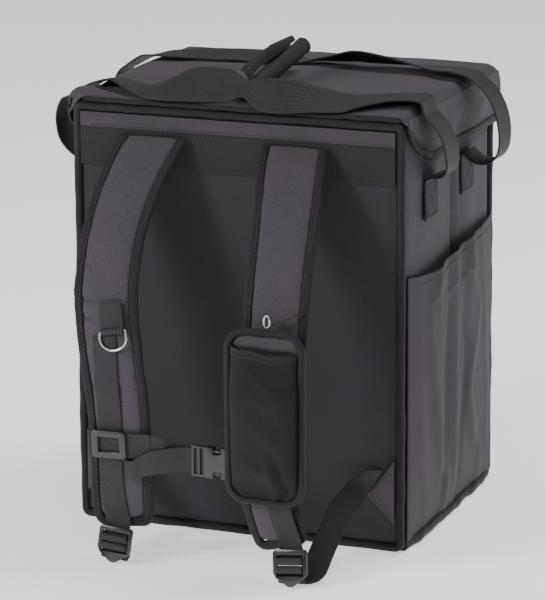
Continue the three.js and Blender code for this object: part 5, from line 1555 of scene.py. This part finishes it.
class BACKPACK_OT_hardware(bpy.types.Operator):
    """Mould the ladder locks, slider and buckle, and bend the D-ring"""

    bl_idname = "backpack.hardware"
    bl_label = "Hardware"

    def execute(self, context):
        for node, rounding in (
            ("ladder_lock_left", 0.9), ("ladder_lock_right", 0.9), ("sternum_slider", 0.8),
            ("buckle_plug", 0.4), ("buckle_socket", 0.5),
        ):
            piece = moulded(f"{node}_moulded", node, rounding)
            settle(piece, plastic_finish(), "plastic", node, angle=35)

        joint = frame["joints"][0]
        bar = Vector(joint["pos_m"]) / MM
        across = -Vector(joint["axis"]).normalized()
        stations = pad_stations("left")
        nearest = min(stations, key=lambda s: abs(s[0].z - bar.z))
        out = nearest[2]
        up = out.cross(across).normalized()
        if up.z < 0:
            up = -up
        half, legs, corner, wire = 14.0, 6.0, 2.6, 1.25
        outline = []
        for k in range(7):
            outline.append((blend_of(-half + corner, half - corner, k / 6), 0.0))
        for k in range(1, 6):
            angle = math.radians(90 - 18 * k)
            outline.append((half - corner + corner * math.cos(angle), -corner + corner * math.sin(angle)))
        for k in range(25):
            angle = math.pi * k / 24
            outline.append((half * math.cos(angle), -legs - 0.92 * half * math.sin(angle)))
        for k in range(1, 6):
            angle = math.radians(180 - 18 * k)
            outline.append((-half + corner + corner * math.cos(angle), -corner + corner * math.sin(angle)))
        points = [bar + across * x + up * z for x, z in outline]
        points.append(points[0].copy())
        line = stations_on(points, out, wire, wire, ring=True)
        piece = tube("ring_wire", line, 14, ring=True)
        settle(piece, metal_finish(), "metal", "d_ring", body="d_ring")
        return {"FINISHED"}


POUCH_LOW, POUCH_HIGH = extent("pouch_binding")
POUCH_BACK_LOW, POUCH_BACK_HIGH = extent("pouch_back")
POUCH_MESH_LOW, POUCH_MESH_HIGH = extent("pouch_mesh")
MOUTH_LOW, MOUTH_HIGH = extent("pouch_mouth")
MOUTH_SLANT = 3.0
# Creases across the mesh: height up it and depth, negative for a valley
MESH_CREASES = ((0.86, 1.6), (0.66, -1.3), (0.5, 1.1), (0.2, 1.5))


def pouch_bulge(u, w):
    """How far the mesh stands out, as a share, across and up the pouch"""
    across = math.sqrt(max(0.0, 1 - u ** 4))
    down = max(0.0, math.sin(math.pi * (0.14 + 0.86 * w) * 0.58)) ** 0.8 * smooth(w / 0.22 + 0.05)
    fold = 0.14 * math.exp(-(((u - 0.2 - 0.9 * (0.3 - w)) / 0.13) ** 2)) * smooth((0.42 - w) / 0.2)
    valley = 0.16 * math.exp(-(((u - 0.52 - 0.8 * (0.3 - w)) / 0.12) ** 2)) * smooth((0.4 - w) / 0.2)
    return 0.08 + 0.92 * across * min(1.0, down) + (fold - valley) * across


class BACKPACK_OT_pouch(bpy.types.Operator):
    """Make the padded phone pouch with its mesh front, bound edge, hook and cord"""

    bl_idname = "backpack.pouch"
    bl_label = "Phone pouch"

    def execute(self, context):
        low, high = POUCH_BACK_LOW, POUCH_BACK_HIGH
        middle_x, middle_z = (low[0] + high[0]) / 2, (low[2] + high[2]) / 2
        half_x, half_z, radius = (high[0] - low[0]) / 2, (high[2] - low[2]) / 2, 14.0
        columns, rows = 40, 80

        def back(i, j):
            z = half_z * (2 * j / rows - 1)
            turn = max(0.0, abs(z) - (half_z - radius))
            inset = radius - math.sqrt(max(0.0, radius ** 2 - turn ** 2))
            u = 2 * i / columns - 1
            x = u * (half_x + 1.0 - 0.94 * inset)
            rise = smooth((z + middle_z - MOUTH_HIGH[2] + 6) / 8)
            crown = 3.6 * rise * (1 - u ** 4) * smooth((half_z - z) / 9)
            y = low[1] - crown - 0.4 * rise * ripple(x, 0, z, 10, 4)
            return (middle_x + x, y, middle_z + z), (x, z)

        piece = laid_grid("pouch_padding", columns, rows, back)
        face_outward(piece, (0, -1, 0))
        thicken(piece, 3.6)
        settle(piece, body_cloth(), "cloth", "pouch_back")

        bead = (POUCH_HIGH[0] - POUCH_LOW[0] - 2 * half_x) / 4 - 0.2
        loop = rounded_loop(
            (POUCH_HIGH[0] - POUCH_LOW[0]) / 2 - bead,
            POUCH_LOW[2] + bead, POUCH_HIGH[2] - bead, 18.0, 2.5)
        bead_y = (POUCH_LOW[1] + POUCH_HIGH[1]) / 2
        points = [Vector((middle_x + x, bead_y + 0.3 * ripple(x, 0, z, 15, 1), z)) for x, z in loop]
        points[-1] = points[0].copy()
        line = stations_on(points, (0, -1, 0), bead, bead, ring=True)
        piece = tube("pouch_piping", line, 16, 0.85, ring=True, uneven=0.08, grain=10)
        settle(piece, tape(), "binding", "pouch_binding")

        low, high = POUCH_MESH_LOW, POUCH_MESH_HIGH
        half_mesh = (high[0] - low[0]) / 2
        depth = 22.0
        across, up = 60, 80

        def knitted(i, j):
            u, w = 2 * i / across - 1, j / up
            corner = 1 - 0.32 * max(0.0, 1 - w / 0.1) ** 2
            lift = max(1.2, depth * pouch_bulge(u, w) * (1 - 0.45 * smooth((w - 0.7) / 0.3)))
            lift += 0.9 * ripple(u * 36, 0, w * 150, 22, 6) * smooth(w * 4) * (1 - u ** 4)
            for place, deep in MESH_CREASES:
                crease = (w - place + 0.16 * u) / 0.05
                lift += deep * math.exp(-crease * crease) * (1 - u ** 2)
            x = u * (half_mesh + 0.8) * corner
            z = blend_of(low[2] - 0.6, high[2], w) - MOUTH_SLANT * u * smooth(w * 1.2)
            return (middle_x + x, high[1] - lift, z), (u * 42, w * 155)

        piece = laid_grid("pouch_mesh_front", across, up, knitted)
        face_outward(piece, (0, -1, 0))
        thicken(piece, 1.1)
        settle(piece, mesh_finish(), "mesh", "pouch_mesh", angle=60)

        rows_of_mouth = []
        for k in range(25):
            u = 2 * k / 24 - 1
            lift = max(1.2, depth * pouch_bulge(u, 1.0) * 0.55)
            x = middle_x + u * (half_mesh + 0.8)
            wave_down = 1.6 * math.sin(math.pi * k / 24) + 0.9 * math.sin(math.pi * k / 6)
            z = (MOUTH_LOW[2] + MOUTH_HIGH[2]) / 2 - wave_down - MOUTH_SLANT * u
            rows_of_mouth.append((x, high[1] - lift + 0.2, z, 0, 0, 1, 8.6))
        piece = strap("pouch_mouth_tape", rows_of_mouth, columns=6, spacing=2.5, cup=-0.5, thickness=1.9)
        settle(piece, tape(), "binding", "pouch_mouth")

        front = Vector((0, -1, 0))
        mouth = [((x, y - 1.1, z - 2.4), front) for x, y, z, *_ in rows_of_mouth[1:-1]]
        stitches("pouch_stitching", [mouth])

        finishes = {"pouch_hook": (metal_finish(), "metal"), "pouch_cord": (webbing(), "webbing")}
        for node, (finish, slot) in finishes.items():
            piece = moulded(f"{node}_round", node, 0.15, 1)
            spread_flat(piece)
            settle(piece, finish, slot, node, angle=70)
        return {"FINISHED"}


# Height of the side pocket's mouth
POCKET_TOP = 276.0
# Mouth of the side pocket: share along it, how far it gapes and how far it drops
POCKET_MOUTH = (
    (0, 0, -0.008), (0.12, 0.25, 0), (0.22, 0.6, 0.005), (0.27, 1, 0), (0.33, 0.55, -0.004),
    (0.48, 0.35, -0.01), (0.58, 0.5, -0.018), (0.65, 0.9, -0.024), (0.72, 0.4, -0.021),
    (0.88, 0.25, -0.024), (1, 0, -0.028),
)
# Folds of the side pocket: height and place along it, then its strength and reach
POCKET_FOLDS = (
    (((0.1, 0.4), (0.3, 0.3), (0.45, 0.26), (0.62, 0.22), (0.8, 0.19), (1, 0.27)), 1.0, 0.05),
    (((0, 0.5), (0.2, 0.48), (0.45, 0.45), (0.7, 0.44), (1, 0.48)), 0.8, 0.042),
    (((0.12, 0.83), (0.25, 0.7), (0.42, 0.62), (0.72, 0.74), (1, 0.62)), 1.0, 0.05),
    (((0.3, 0.93), (0.6, 0.86), (1, 0.82)), 0.6, 0.04),
    (((0.05, 0.2), (0.3, 0.12), (0.6, 0.1)), 0.5, 0.05),
    (((0.35, 0.36), (0.6, 0.35), (0.9, 0.38)), -0.7, 0.03),
    (((0.3, 0.56), (0.55, 0.57), (0.85, 0.55)), -0.7, 0.035),
)


def pocket_point(s, w):
    """Point of the pocket's cloth at shares along it and up it"""
    y = blend_of(SIDE_LOW[1], 0.985 * SIDE_HIGH[1], s)
    drop = look_up(POCKET_MOUTH, s, 2, smooth) * w ** 3
    z = blend_of(SIDE_LOW[2], POCKET_TOP - drop * HEIGHT, w)
    border = max(0.0, math.sin(math.pi * s)) ** 0.6
    body = 9.0 * border * math.sin(math.pi * (0.06 + 0.8 * w)) * smooth(w / 0.1)
    gape = 11.0 * look_up(POCKET_MOUTH, s, 1, smooth) * w ** 4
    fold = 0.0
    for line, strength, reach in POCKET_FOLDS:
        far = (s - look_up(line, w, 1, smooth)) / reach
        height = math.sin(math.pi * min(1.0, w + 0.12)) ** 0.5 if w < 0.88 else 1.0 - (w - 0.88) * 4
        fold += 3.4 * strength * math.exp(-far * far) * border * max(0.0, height)
    soft = 0.9 * ripple(0, y, z, 40, 3) + 0.4 * ripple(0, y, z, 16, 6)
    crown = SIDE_CROWN * max(0.0, 1 - (y / SIDE_HIGH[1]) ** 2) * (1 - (2 * z / HEIGHT - 1) ** 2)
    x = SIDE_X + crown + 0.8 + max(0.0, body * 0.75 + gape * 0.55 + fold + soft * border * smooth(w * 5))
    return Vector((x + 1.8, y, z))


class BACKPACK_OT_side_pocket(bpy.types.Operator):
    """Sew the loose side pocket on, with its folds and gaping mouth"""

    bl_idname = "backpack.side_pocket"
    bl_label = "Side pocket"

    def execute(self, context):
        columns, rows = 110, 96

        def cloth(i, j):
            spot = pocket_point(i / columns, j / rows)
            return spot, (spot.y, spot.z)

        piece = laid_grid("pocket_cloth_painted_shade", columns, rows, cloth)
        face_outward(piece, (1, 0, 0))
        thicken(piece, 1.5, rounding=0.3)
        # The pocket's cloth is the body cloth darkened: painted shade
        settle(piece, pocket_cloth_painted_shade(), "cloth", "side_pocket", angle=60)
        out = Vector((1, 0, 0))
        line = [(pocket_point(k / 60, 0.972) + out * 0.15, out) for k in range(1, 60)]
        stitches("pocket_stitching", [line])
        return {"FINISHED"}


OPERATORS = (
    BACKPACK_OT_stage, BACKPACK_OT_panels, BACKPACK_OT_bindings, BACKPACK_OT_face_trim, BACKPACK_OT_lid,
    BACKPACK_OT_handles, BACKPACK_OT_shoulder_pads, BACKPACK_OT_strap_webbing, BACKPACK_OT_hardware,
    BACKPACK_OT_pouch, BACKPACK_OT_side_pocket,
)


class BACKPACK_PT_sidebar(bpy.types.Panel):
    """Lists the pieces of the backpack and the sizes and colours to change"""

    bl_label = "Delivery Backpack"
    bl_idname = "BACKPACK_PT_sidebar"
    bl_space_type = "VIEW_3D"
    bl_region_type = "UI"
    bl_category = "Backpack"

    def draw(self, context):
        layout = self.layout
        for operator in OPERATORS:
            layout.operator(operator.bl_idname)
        for group in (context.scene.backpack_looks, context.scene.backpack_stage):
            for name in group.__annotations__:
                layout.prop(group, name)


CLASSES = (BackpackLooks, BackpackStage, *OPERATORS, BACKPACK_PT_sidebar)


def register():
    for kind in CLASSES:
        bpy.utils.register_class(kind)
    bpy.types.Scene.backpack_looks = PointerProperty(type=BackpackLooks)
    bpy.types.Scene.backpack_stage = PointerProperty(type=BackpackStage)


def unregister():
    del bpy.types.Scene.backpack_stage
    del bpy.types.Scene.backpack_looks
    for kind in reversed(CLASSES):
        bpy.utils.unregister_class(kind)


def main():
    register()
    bpy.ops.backpack.stage()
    bpy.ops.backpack.panels()
    bpy.ops.backpack.bindings()
    bpy.ops.backpack.face_trim()
    bpy.ops.backpack.lid()
    bpy.ops.backpack.handles()
    bpy.ops.backpack.shoulder_pads()
    bpy.ops.backpack.strap_webbing()
    bpy.ops.backpack.hardware()
    bpy.ops.backpack.pouch()
    bpy.ops.backpack.side_pocket()


if __name__ == "__main__":
    main()
